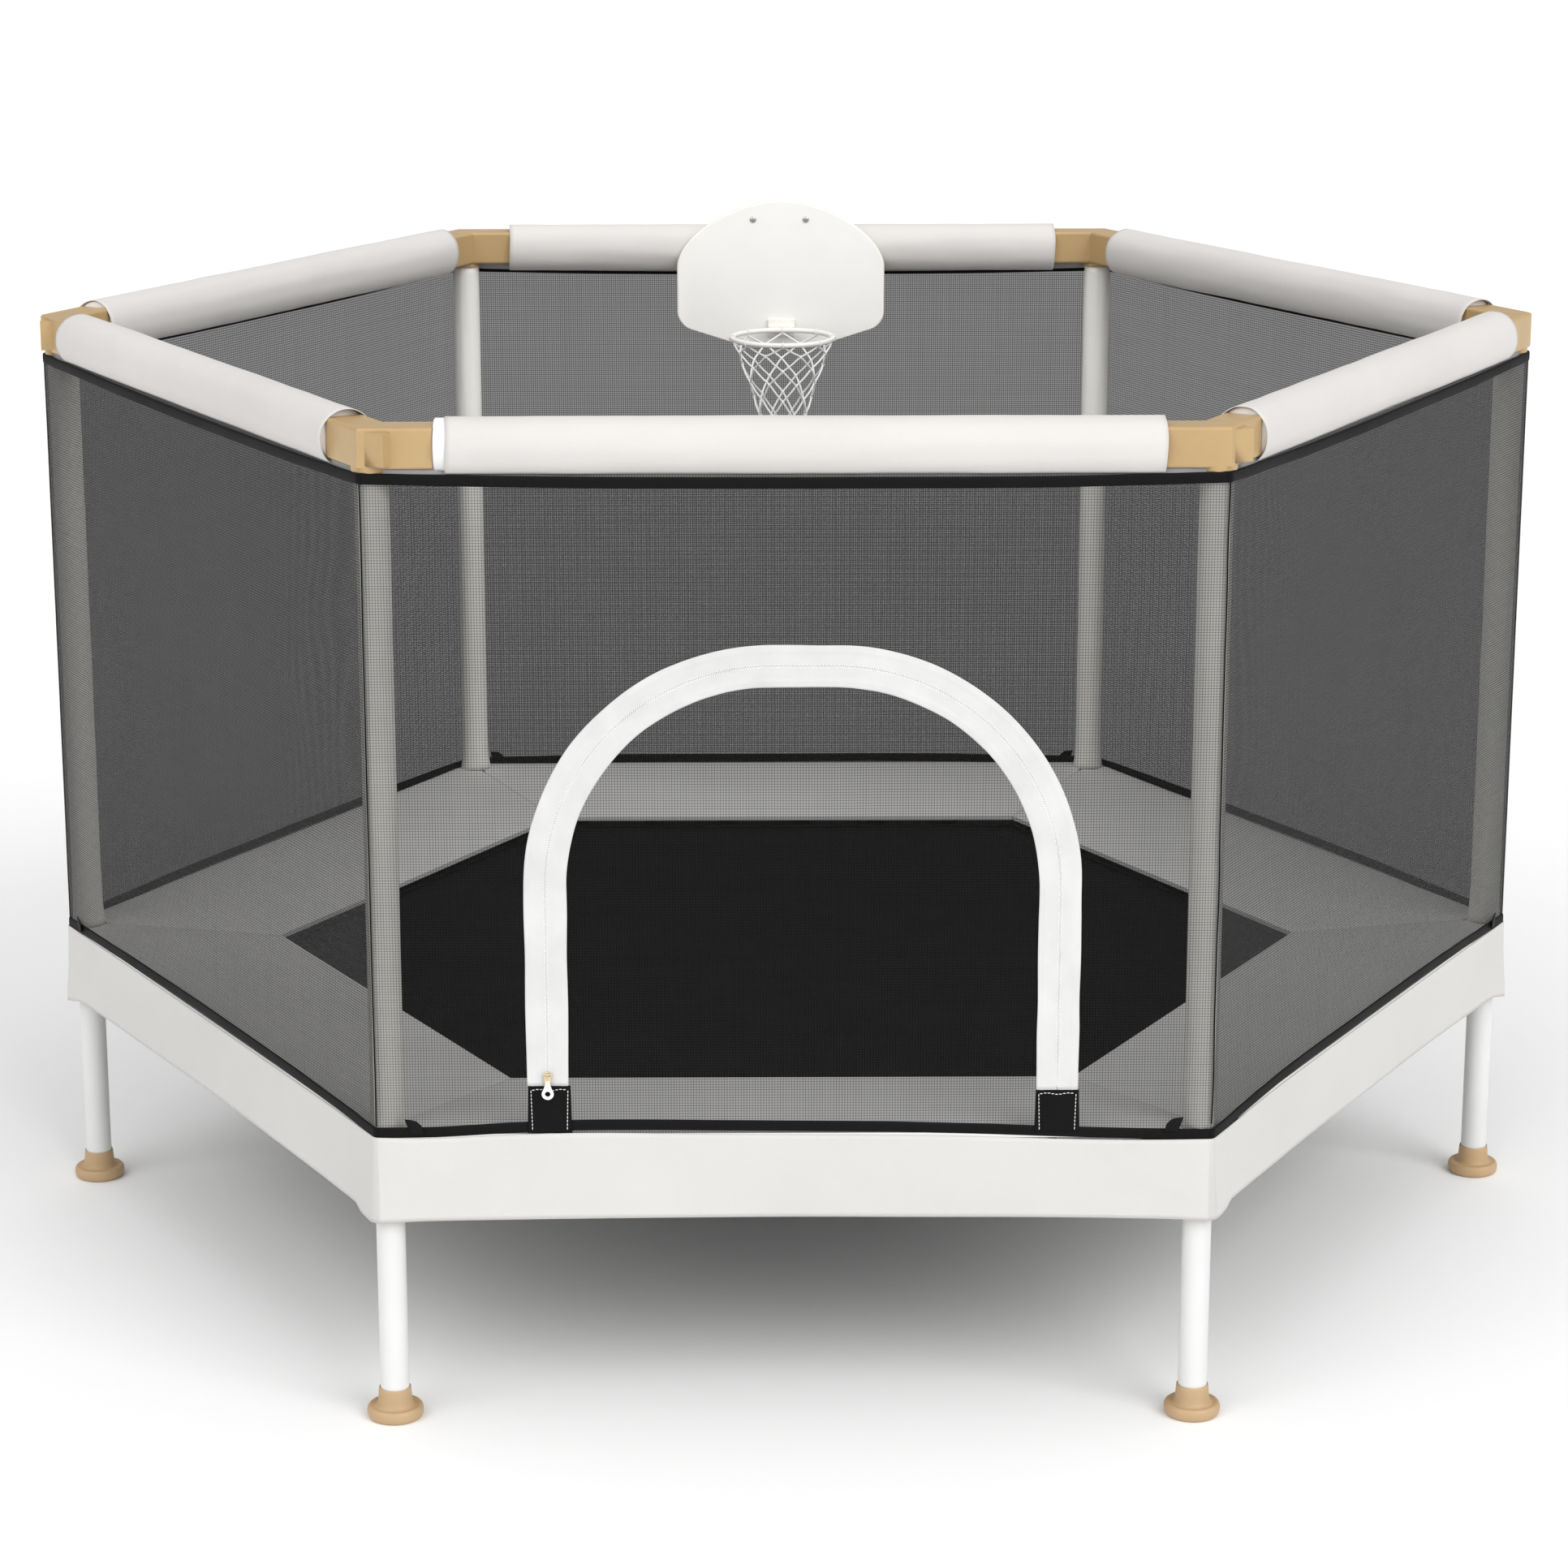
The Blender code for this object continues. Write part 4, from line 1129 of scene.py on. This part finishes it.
def door_point(u, v):
    rows = [r for r in net_rows() if DOOR_SILL - 1e-6 <= r <= DOOR_SPRING + DOOR_RADIUS + 1e-6]
    z = rows[round(v * (len(rows) - 1))]
    x = DOOR_CENTRE + (2 * u - 1) * (door_half(z) - 0.0004)
    calm = sin(pi * min(1.0, max(0.0, (z - DOOR_SILL) / (DOOR_HIGH.z - DOOR_SILL))))
    return (x, -NET_APOTHEM + net_wave(x, z, 8.0) * (0.4 + 0.6 * calm), z)


door_rows = 14 + 24
bm = mapped_grid(30, door_rows, (1, 1), door_point)
uv = bm.loops.layers.uv["weave"]
for face in bm.faces:
    for loop in face.loops:
        loop[uv].uv = (loop.vert.co.x, loop.vert.co.z)
door_net = add_piece("door_net", to_mesh(bm, "door", 180), open_net, None, ["door_flap"])
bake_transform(door_net)


# Zip
# Two white ribbons follow the arch, one sewn to the panel and one to the flap, with a row of teeth on each
# of the facing edges. Both stop above a black patch.

TAPE_FOOT_LEFT, TAPE_FOOT_RIGHT = 0.3119, 0.3070


def arch(share, left_foot=TAPE_FOOT_LEFT, right_foot=TAPE_FOOT_RIGHT, outer=0.0):
    """Point (x, z) on the zip's line, its outward direction, and its distance from the left foot."""
    rises = (DOOR_SPRING - left_foot, DOOR_SPRING - right_foot)
    quarter = pi * DOOR_RADIUS / 2
    whole = rises[0] + 2 * quarter + 2 * DOOR_FLAT + rises[1]
    far = share * whole
    left = far - rises[0]
    right = far - rises[0] - quarter - 2 * DOOR_FLAT
    if left < 0:
        spot, out = (-DOOR_FLAT - DOOR_RADIUS, left), (-1, 0)
    elif left < quarter:
        bend = left / DOOR_RADIUS
        out = (-cos(bend), sin(bend))
        spot = (-DOOR_FLAT + DOOR_RADIUS * out[0], DOOR_RADIUS * out[1])
    elif right < 0:
        spot, out = (left - quarter - DOOR_FLAT, DOOR_RADIUS), (0, 1)
    elif right < quarter:
        bend = right / DOOR_RADIUS
        out = (sin(bend), cos(bend))
        spot = (DOOR_FLAT + DOOR_RADIUS * out[0], DOOR_RADIUS * out[1])
    else:
        spot, out = (DOOR_FLAT + DOOR_RADIUS, quarter - right), (1, 0)
    return Vector((DOOR_CENTRE + spot[0], DOOR_SPRING + spot[1])), Vector(out), far, whole


def tape_point(u, v, first, last):
    spot, out, far, whole = arch(u)
    width = first + v * (last - first)
    edge = abs(width) / TAPE_HALF
    scallop = 0.0007 * edge**3 * ripple(far * 22, 0, width, 2.0)
    turn_under = 0.0012 * exp(-min(far, whole - far) / 0.012)
    width = (width + (1 if width > 0 else -1) * scallop) * (1 - 0.6 * turn_under / 0.0012 * 0.06)
    wave = 0.0019 * ripple(far * 24, width * 30, 0, 6.0) + 0.0009 * ripple(far * 60, width * 70, 0, 3.0)
    wave *= (0.35 + 0.65 * edge) * (1 - exp(-((min(far, whole - far) / 0.030) ** 2)))
    ridge = 0.0004 * exp(-(((abs(width) - 0.0130) / 0.0012) ** 2))
    ahead = TAPE_OUT + 0.0008 + 0.7 * wave + ridge
    place = spot + out * width
    return (place.x, -NET_APOTHEM - ahead, place.y)


def tape_finish():
    """White woven ribbon: fine ribs along its length and a satin shine."""
    finish = start_finish("white_zip_ribbon", (0.88, 0.88, 0.88), 0.48)
    shader = finish.node_tree.nodes["Principled BSDF"]
    shader.inputs["Sheen Weight"].default_value = 0.2
    ribs = woven(finish, 0.0160, 0.0011)
    twill = woven(finish, 0.0012, 0.0012)
    cloud = grain(finish, 28, 3.0, (1, 1, 1))
    # The twill relief also lightens the colour on its raised threads and darkens it between them: painted shade in the
    # weave. The cloud is random tone.
    shade = shaded_between(finish, worked(finish, "ADD", cloud, worked(finish, "MULTIPLY", twill, 0.1)),
                           (0.620, 0.620, 0.615), (0.705, 0.705, 0.700), 0.25, 0.75)
    height = worked(finish, "ADD", worked(finish, "MULTIPLY", ribs, 0.3), twill)
    return dress(finish, shade, None, height, 0.00010, 0.5)


zip_ribbon = tape_finish()
ribbon_length = arch(0)[3]
for name, first, last in (("outer", 0.0002, TAPE_HALF), ("inner", -TAPE_HALF, -0.0002)):
    bm = mapped_grid(260, 12, (ribbon_length, TAPE_HALF),
                     lambda u, v, f=first, l=last: tape_point(u, v, f, l))
    tape = add_piece(f"zip_tape_{name}", to_mesh(bm, "tape", 60), zip_ribbon,
                     "root" if name == "outer" else "door")
    thickened(tape, 0.0006, 0.0)

TOOTH_PITCH = 0.0022


def teeth(side):
    """A row of moulded teeth on one edge; the other side's teeth sit in its gaps."""
    count = int(ribbon_length / TOOTH_PITCH)
    bm = bmesh.new()
    for number in range(2, count - 1):
        spot, out, _, _ = arch((number + (0.5 if side > 0 else 0.0)) / count)
        along = Vector((-out.y, 0, out.x))
        across = Vector((out.x, 0, out.y))
        lie = Matrix((along, Vector((0, 1, 0)), across)).transposed().to_4x4()
        centre = spot + out * (0.0007 * side)
        lie.translation = (centre.x, -NET_APOTHEM - TAPE_OUT - 0.0011, centre.y)
        spread = Matrix.Diagonal((0.00078, 0.0008, 0.0019, 1))
        bmesh.ops.create_cube(bm, size=1.0, matrix=lie @ spread)
    bmesh.ops.bevel(bm, geom=list(bm.edges), offset=0.00022, segments=1, profile=0.5,
                    affect="EDGES", material=-1)
    return to_mesh(bm, "teeth", 60)


tooth_plastic = moulded("white_zip_teeth", (0.86, 0.86, 0.85), 0.35)
add_piece("zip_teeth_outer", teeth(1), tooth_plastic)
add_piece("zip_teeth_inner", teeth(-1), tooth_plastic, "door")


# Zip foot patches
# Squares of black cloth sewn over the net at both feet of the zip, with white thread round three edges.

PATCHES = {"left": (-0.2284, -0.1910, 0.3118), "right": (0.2064, 0.2442, 0.3072)}
PATCH_FOOT = 0.2690


def patch_mesh(low, high, top):
    def place(u, v):
        x = low + u * (high - low) + 0.0010 * (0.5 - v) * (1 if u > 0.5 else -1)
        z = PATCH_FOOT + v * (top - PATCH_FOOT) + 0.0004 * ripple(x * 90, 0, v * 3, 2.0)
        puff = 0.0007 * sin(pi * u) * sin(pi * v) + 0.0005 * ripple(x * 60, 0, z * 60, 7.0)
        return (x, -NET_APOTHEM - 0.0020 - puff, z)
    return to_mesh(mapped_grid(20, 20, (high - low, top - PATCH_FOOT), place), "patch", 60)


def patch_spots(low, high, top):
    y = -NET_APOTHEM - 0.0029
    spots, inset, pitch = [], 0.0034, 0.0033
    out = Vector((0, -1, 0))
    for x in (low + inset, high - inset):
        count = int((top - inset - PATCH_FOOT) / pitch)
        for number in range(count):
            lean = 0.0009 * (number / count - 0.5) * (1 if x < (low + high) / 2 else -1)
            place = Vector((x + lean, y, top - inset - pitch * (number + 0.5)))
            spots.append((place, Vector((0, 0, 1)), out))
    count = int((high - low - 2 * inset) / pitch)
    for number in range(count):
        dip = 0.0006 * sin(number * 1.1)
        spots.append((Vector((low + inset + pitch * (number + 0.5), y, top - inset + dip)),
                      Vector((1, 0, 0)), out))
    return spots


patch_cloth = black_weave("black_patch_cloth", (0.0045, 0.0045, 0.0048), 0.0009, 0.0001)
thread_white = moulded("white_thread", (0.72, 0.72, 0.71), 0.6)
for where, (low, high, top) in PATCHES.items():
    patch = add_piece(f"zip_foot_patch_{where}", patch_mesh(low, high, top), patch_cloth)
    thickened(patch, 0.0009)
    add_piece(f"patch_stitches_{where}", stitch_mesh(patch_spots(low, high, top), 0.0031, 0.0009),
              thread_white)


# Slider and pull
# The gold slider wraps the teeth, and its bail holds a flat drop-shaped pull with a round hole.

SLIDER_LOW, SLIDER_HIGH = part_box("zip_slider")
PULL_LOW, PULL_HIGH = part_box("zip_pull")
SLIDER_X = (PULL_LOW.x + PULL_HIGH.x) / 2
SLIDER_CLEARANCE = 0.0030


def gold_finish():
    finish = start_finish("pale_gold", (0.78, 0.62, 0.36), 0.26)
    finish.node_tree.nodes["Principled BSDF"].inputs["Metallic"].default_value = 0.85
    worn = grain(finish, 300, 3.0)
    shade = shaded_between(finish, worn, (0.66, 0.50, 0.27), (0.86, 0.74, 0.52))
    return dress(finish, shade, between(finish, worn, 0.2, 0.4), worn, 0.00004, 0.3)


def slider_mesh():
    front = SLIDER_LOW.y
    body_depth = 0.0014
    back = -NET_APOTHEM - TAPE_OUT - SLIDER_CLEARANCE
    middle = 0.3185
    bm = bmesh.new()
    spread = Matrix.Diagonal((0.0080, body_depth, 0.0118, 1))
    spot = Matrix.Translation((SLIDER_X, back - body_depth / 2, middle))
    bmesh.ops.create_cube(bm, size=1.0, matrix=spot @ spread)
    lower = [v for v in bm.verts if v.co.z < middle]
    bmesh.ops.scale(bm, verts=lower, vec=(0.62, 1, 1), space=Matrix.Translation((-SLIDER_X, 0, 0)))
    bmesh.ops.bevel(bm, geom=list(bm.edges), offset=0.0005, segments=3, profile=0.5,
                    affect="EDGES", material=-1)
    bail = bmesh.new()
    reach = (back - front) / 2
    bmesh.ops.create_cone(bail, cap_ends=True, segments=28, radius1=1, radius2=1, depth=0.0020,
                          matrix=Matrix.Rotation(radians(90), 4, "Y"))
    bmesh.ops.scale(bail, verts=bail.verts, vec=(1, reach, 0.0034))
    bmesh.ops.translate(bail, verts=bail.verts, vec=(SLIDER_X, (back + front) / 2, PULL_HIGH.z - 0.0010))
    bmesh.ops.bevel(bail, geom=[e for e in bail.edges if e.calc_face_angle(0) > 1.0], offset=0.0003,
                    segments=2, profile=0.5, affect="EDGES", material=-1)
    hole = bmesh.new()
    bmesh.ops.create_cone(hole, cap_ends=True, segments=20, radius1=0.0013, radius2=0.0013, depth=0.01,
                          matrix=Matrix.Rotation(radians(90), 4, "Y"))
    bmesh.ops.translate(hole, verts=hole.verts,
                        vec=(SLIDER_X, (PULL_LOW.y + PULL_HIGH.y) / 2, PULL_HIGH.z - 0.0008))
    solid = joined(to_mesh(bm, "body"), to_mesh(bail, "bail"))
    return joined(solid, to_mesh(hole, "hole"), "DIFFERENCE")


def pull_mesh():
    """A flat stem that widens into a ring."""
    top, bottom = PULL_HIGH.z - 0.0002, PULL_LOW.z
    ring, hole = 0.0052, 0.0024
    centre = bottom + ring
    outline = [(-0.0019, top), (-0.0022, top - 0.0010), (-0.0021, centre + 0.0085)]
    for k in range(25):
        angle = radians(140 + 260 * k / 24)
        outline.append((ring * cos(angle), centre + ring * sin(angle)))
    outline += [(0.0021, centre + 0.0085), (0.0022, top - 0.0010), (0.0019, top)]
    bm = bmesh.new()
    y = (PULL_LOW.y + PULL_HIGH.y) / 2
    thick = 0.0013
    bm.faces.new([bm.verts.new((SLIDER_X + x, y - thick / 2, z)) for x, z in outline])
    made = bmesh.ops.extrude_face_region(bm, geom=list(bm.faces))["geom"]
    moved = [part for part in made if isinstance(part, bmesh.types.BMVert)]
    bmesh.ops.translate(bm, verts=moved, vec=(0, thick, 0))
    bmesh.ops.recalc_face_normals(bm, faces=bm.faces)
    rims = [e for e in bm.edges if e.calc_face_angle(0) > 1.2]
    bmesh.ops.bevel(bm, geom=rims, offset=0.0004, segments=2, profile=0.5, affect="EDGES", material=-1)
    punch = bmesh.new()
    bmesh.ops.create_cone(punch, cap_ends=True, segments=32, radius1=hole, radius2=hole, depth=0.01,
                          matrix=Matrix.Translation((SLIDER_X, y, centre)) @ Matrix.Rotation(radians(90), 4, "X"))
    return joined(to_mesh(bm, "pull"), to_mesh(punch, "punch"), "DIFFERENCE")


def pull_finish():
    """White enamel on the ring that wears to pale gold up the stem."""
    finish = start_finish("white_enamel", (0.84, 0.82, 0.78), 0.28)
    source = step(finish, "TexCoord").outputs["Object"]
    height = step(finish, "SeparateXYZ", {"Vector": source}).outputs["Z"]
    worn = worked(finish, "ADD", height, worked(finish, "MULTIPLY", grain(finish, 700, 2.0), 0.002))
    stem = PULL_LOW.z + 0.0115
    share = step(finish, "MapRange", {"Value": worn, "From Min": stem, "From Max": stem + 0.008}).outputs[0]
    shade = shaded_between(finish, share, (0.85, 0.84, 0.82), (0.74, 0.64, 0.47), 0.0, 1.0)
    return dress(finish, shade, between(finish, share, 0.25, 0.4), grain(finish, 900), 0.00003, 0.2)


gold = gold_finish()
add_piece("zip_slider_body", slider_mesh(), gold, "slider", ["zip_slider"])
add_piece("zip_pull_tab", pull_mesh(), pull_finish(), "pull", ["zip_pull"])


# Backboard
# A white moulded board with an arched top and a cream backing. Two domed bolts go through it into clips
# that grip the padded back rail.

BOARD_BACK = APOTHEM - COVER_RADIUS - 0.0010
BOARD_FRONT = BOARD_BACK - 0.0060
BOARD_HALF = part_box("backboard")[1].x
BOARD_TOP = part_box("backboard")[1].z
BOARD_SHOULDER = 0.8460
BOARD_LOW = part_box("backboard")[0].z - 0.0055
BOARD_X = -0.0015
BOLT_X, BOLT_Z = 0.029, 0.8975
CLIP_WIDTH = 0.018


def board_plate(front, back, grow, edge):
    """The board's outline, grown by a little, between two depths, with rolled edges."""
    bm = bmesh.new()
    steps = 48
    points = []
    for number in range(steps + 1):
        angle = pi * number / steps
        across = (abs(cos(angle)) ** 1.17) * (1 if cos(angle) > 0 else -1)
        points.append(((BOARD_HALF + grow) * across,
                       BOARD_SHOULDER + (BOARD_TOP - BOARD_SHOULDER + grow) * sin(angle) ** 1.17))
    lower = [(-BOARD_HALF - grow, 0.7805 - grow), (-0.0380, BOARD_LOW - grow),
             (0.0380, BOARD_LOW - grow), (BOARD_HALF + grow, 0.7805 - grow)]
    made = [bm.verts.new((x + BOARD_X, front, z)) for x, z in points + lower]
    bm.faces.new(made)
    low_corners = [made[steps + 1], made[steps + 4]]
    bmesh.ops.bevel(bm, geom=low_corners, offset=0.0150, segments=8, profile=0.5, affect="VERTICES",
                    material=-1)
    grown = bmesh.ops.extrude_face_region(bm, geom=list(bm.faces))["geom"]
    moved = [part for part in grown if isinstance(part, bmesh.types.BMVert)]
    bmesh.ops.translate(bm, verts=moved, vec=(0, back - front, 0))
    bmesh.ops.recalc_face_normals(bm, faces=bm.faces)
    rims = [e for e in bm.edges if e.calc_face_angle(0) > 1.2]
    bmesh.ops.bevel(bm, geom=rims, offset=edge, segments=3, profile=0.5, affect="EDGES", material=-1)
    return bm


def clip_bm(x):
    """A C-shaped clip round the padded rail, with the boss that takes the bolt."""
    bm = bmesh.new()
    inner, outer = COVER_RADIUS + 0.0003, COVER_RADIUS + 0.0028
    first, last = radians(12), radians(205)
    corners = [bm.verts.new((side * CLIP_WIDTH / 2, radius * cos(first), radius * sin(first)))
               for side, radius in ((-1, inner), (1, inner), (1, outer), (-1, outer))]
    bm.faces.new(corners)
    bmesh.ops.spin(
        bm, geom=list(bm.verts) + list(bm.edges) + list(bm.faces), cent=(0, 0, 0), axis=(1, 0, 0),
        dvec=(0, 0, 0), angle=last - first, steps=30, use_merge=False, use_duplicate=False,
    )
    bmesh.ops.recalc_face_normals(bm, faces=bm.faces)
    sharp = [e for e in bm.edges if e.calc_face_angle(0) > 1.2]
    bmesh.ops.bevel(bm, geom=sharp, offset=0.0006, segments=2, profile=0.5, affect="EDGES", material=-1)
    bmesh.ops.translate(bm, verts=bm.verts, vec=(x, APOTHEM, RAIL_HEIGHT))
    return bm


def dome(radius, height, segments=28):
    """A low domed bolt head with a flat rim, along its own Z."""
    outline = [(0, 0), (radius, 0), (radius, 0.15 * height), (0.92 * radius, 0.5 * height),
               (0.68 * radius, 0.84 * height), (0.36 * radius, 0.97 * height), (0, height)]
    return spun(outline, segments, closed=False)


board_white = moulded("board_white", (0.930, 0.917, 0.890), 0.34, 700, 0.012)
board_cream = moulded("board_cream", (0.80, 0.745, 0.600), 0.45, 700)
plate = add_piece("board_plate", to_mesh(board_plate(BOARD_FRONT, BOARD_BACK - 0.0018, 0, 0.0012), "plate"),
                  board_white, stands_for=["backboard"])
add_piece("board_backing", to_mesh(board_plate(BOARD_BACK - 0.0018, BOARD_BACK, 0.0006, 0.0006), "backing"),
          board_cream)
steel = painted("bolt_steel", (0.60, 0.60, 0.62), 0.3)
steel.node_tree.nodes["Principled BSDF"].inputs["Metallic"].default_value = 0.8
bolts, clips = [], []
for side in (-1, 1):
    bolt = dome(0.0036, 0.0018)
    bolt.transform(Matrix.Translation((side * BOLT_X + 2 * BOARD_X, BOARD_FRONT, BOLT_Z)) @ Matrix.Rotation(radians(90), 4, "X"))
    bolts.append(bolt)
    clips.append(clip_bm(side * BOLT_X))
    boss = bmesh.new()
    spread = Matrix.Diagonal((CLIP_WIDTH, 0.0130, 0.0160, 1))
    bmesh.ops.create_cube(boss, size=1.0,
                          matrix=Matrix.Translation((side * BOLT_X, BOARD_BACK + 0.0066, BOLT_Z - 0.001)) @ spread)
    bmesh.ops.bevel(boss, geom=list(boss.edges), offset=0.0008, segments=2, profile=0.5,
                    affect="EDGES", material=-1)
    clips.append(boss)
add_piece("board_bolts", merged(bolts, "bolts"), steel)
add_piece("board_clips", merged(clips, "clips"), board_white)


# Hoop
# A ring of white painted wire welded to a small plate on the board.

RIM_LOW, RIM_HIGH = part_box("hoop_rim")
RIM_HEIGHT = 0.777
RIM_RADIUS = 0.0548
RIM_WIRE = 0.0027
RIM_Y = BOARD_FRONT - 0.0085 - RIM_WIRE - RIM_RADIUS


def hoop_ring():
    outline = [(RIM_RADIUS + RIM_WIRE * cos(a), RIM_WIRE * sin(a)) for a in (k * pi / 7 for k in range(14))]
    bm = spun(outline, 72)
    bmesh.ops.translate(bm, verts=bm.verts, vec=(0, RIM_Y, RIM_HEIGHT))
    return bm


def rounded_block(size, centre, edge):
    bm = bmesh.new()
    bmesh.ops.create_cube(bm, size=1.0, matrix=Matrix.Translation(centre) @ Matrix.Diagonal((*size, 1)))
    bmesh.ops.bevel(bm, geom=list(bm.edges), offset=edge, segments=3, profile=0.5, affect="EDGES",
                    material=-1)
    return bm


hoop_parts = [hoop_ring()]
hoop_parts.append(rounded_block((0.0300, 0.0030, 0.0200), (-0.001, BOARD_FRONT - 0.0018, RIM_HEIGHT + 0.001), 0.0010))
hoop_parts.append(rounded_block((0.0290, 0.0110, 0.0030), (-0.001, BOARD_FRONT - 0.0058, RIM_HEIGHT + 0.0035), 0.0010))
for side in (-1, 1):
    hoop_parts.append(rounded_block((0.0040, 0.0100, 0.0040), (side * 0.008, BOARD_FRONT - 0.0070, RIM_HEIGHT), 0.0008))
rim_paint = painted("rim_white", (0.845, 0.825, 0.775), 0.36)
add_piece("hoop_ring", merged(hoop_parts, "hoop"), rim_paint, stands_for=["hoop_rim"])


# Hoop net
# White braided cord: eight loops over the ring, crossed and knotted into diamonds that narrow downwards.

NET_LOOPS = 8
NET_CORD = 0.00105
NET_LEVELS = [(0.7740, 0.0540), (0.7630, 0.0500), (0.7475, 0.0440), (0.7300, 0.0375), (0.7120, 0.0312),
              (0.6940, 0.0268), (0.6760, 0.0240), (0.6580, 0.0222)]


def knot_spot(step_number, level, seed):
    height, radius = NET_LEVELS[level]
    slack = 0.0016 * ripple(step_number * 1.3, level * 2.1, 0, seed)
    angle = pi * step_number / NET_LOOPS + 0.035 * ripple(level * 3.3, step_number * 0.9, 1, seed)
    return Vector((radius * cos(angle), radius * sin(angle) + RIM_Y, height + slack))


def strand(number, way):
    """One cord from its loop on the ring down to the open end, shifting half a mesh at each level."""
    points = []
    for level in range(len(NET_LEVELS)):
        points.append(knot_spot(2 * number + way * level, level, 3.0))
        if level + 1 < len(NET_LEVELS):
            after = knot_spot(2 * number + way * (level + 1), level + 1, 3.0)
            middle = (points[-1] + after) / 2
            flat = Vector((middle.x, middle.y - RIM_Y, 0))
            points.append(middle + flat.normalized() * 0.0010)
    return points


cords = []
for number in range(NET_LOOPS):
    for way in (-1, 1):
        cords.append(lacing(strand(number, way), NET_CORD, "strand"))
    angle = 2 * pi * number / NET_LOOPS
    outward = Vector((cos(angle), sin(angle), 0))
    centre = outward * RIM_RADIUS + Vector((0, RIM_Y, RIM_HEIGHT))
    wrap = RIM_WIRE + 0.0007
    ring = [centre + outward * wrap * sin(a) + up * wrap * cos(a) for a in (radians(-150 + 300 * k / 9) for k in range(10))]
    cords.append(lacing(ring, 0.0007, "wrap"))
    for level in range(1, len(NET_LEVELS)):
        knot = bmesh.new()
        spot = knot_spot(2 * number + level, level, 3.0)
        bmesh.ops.create_icosphere(knot, subdivisions=2, radius=NET_CORD * 1.75,
                                   matrix=Matrix.Translation(spot) @ Matrix.Diagonal((1, 1, 1.2, 1)))
        cords.append(knot)


def cord_finish():
    """Braided white cord: fine slanting strands, painted darker in the grooves between them as painted shade."""
    finish = start_finish("white_braid", (0.84, 0.84, 0.83), 0.7)
    source = step(finish, "TexCoord").outputs["Object"]
    braid = step(finish, "TexWave", {"Vector": source, "Scale": 420.0, "Distortion": 2.0},
                 bands_direction="DIAGONAL").outputs["Fac"]
    # The colour follows the braid relief, darker in the grooves: painted shade.
    shade = shaded_between(finish, braid, (0.74, 0.74, 0.73), (0.89, 0.89, 0.88), 0.0, 0.8)
    return dress(finish, shade, None, braid, 0.0002, 0.5)


add_piece("hoop_cord_net", merged(cords, "cords"), cord_finish(), stands_for=["hoop_net"])
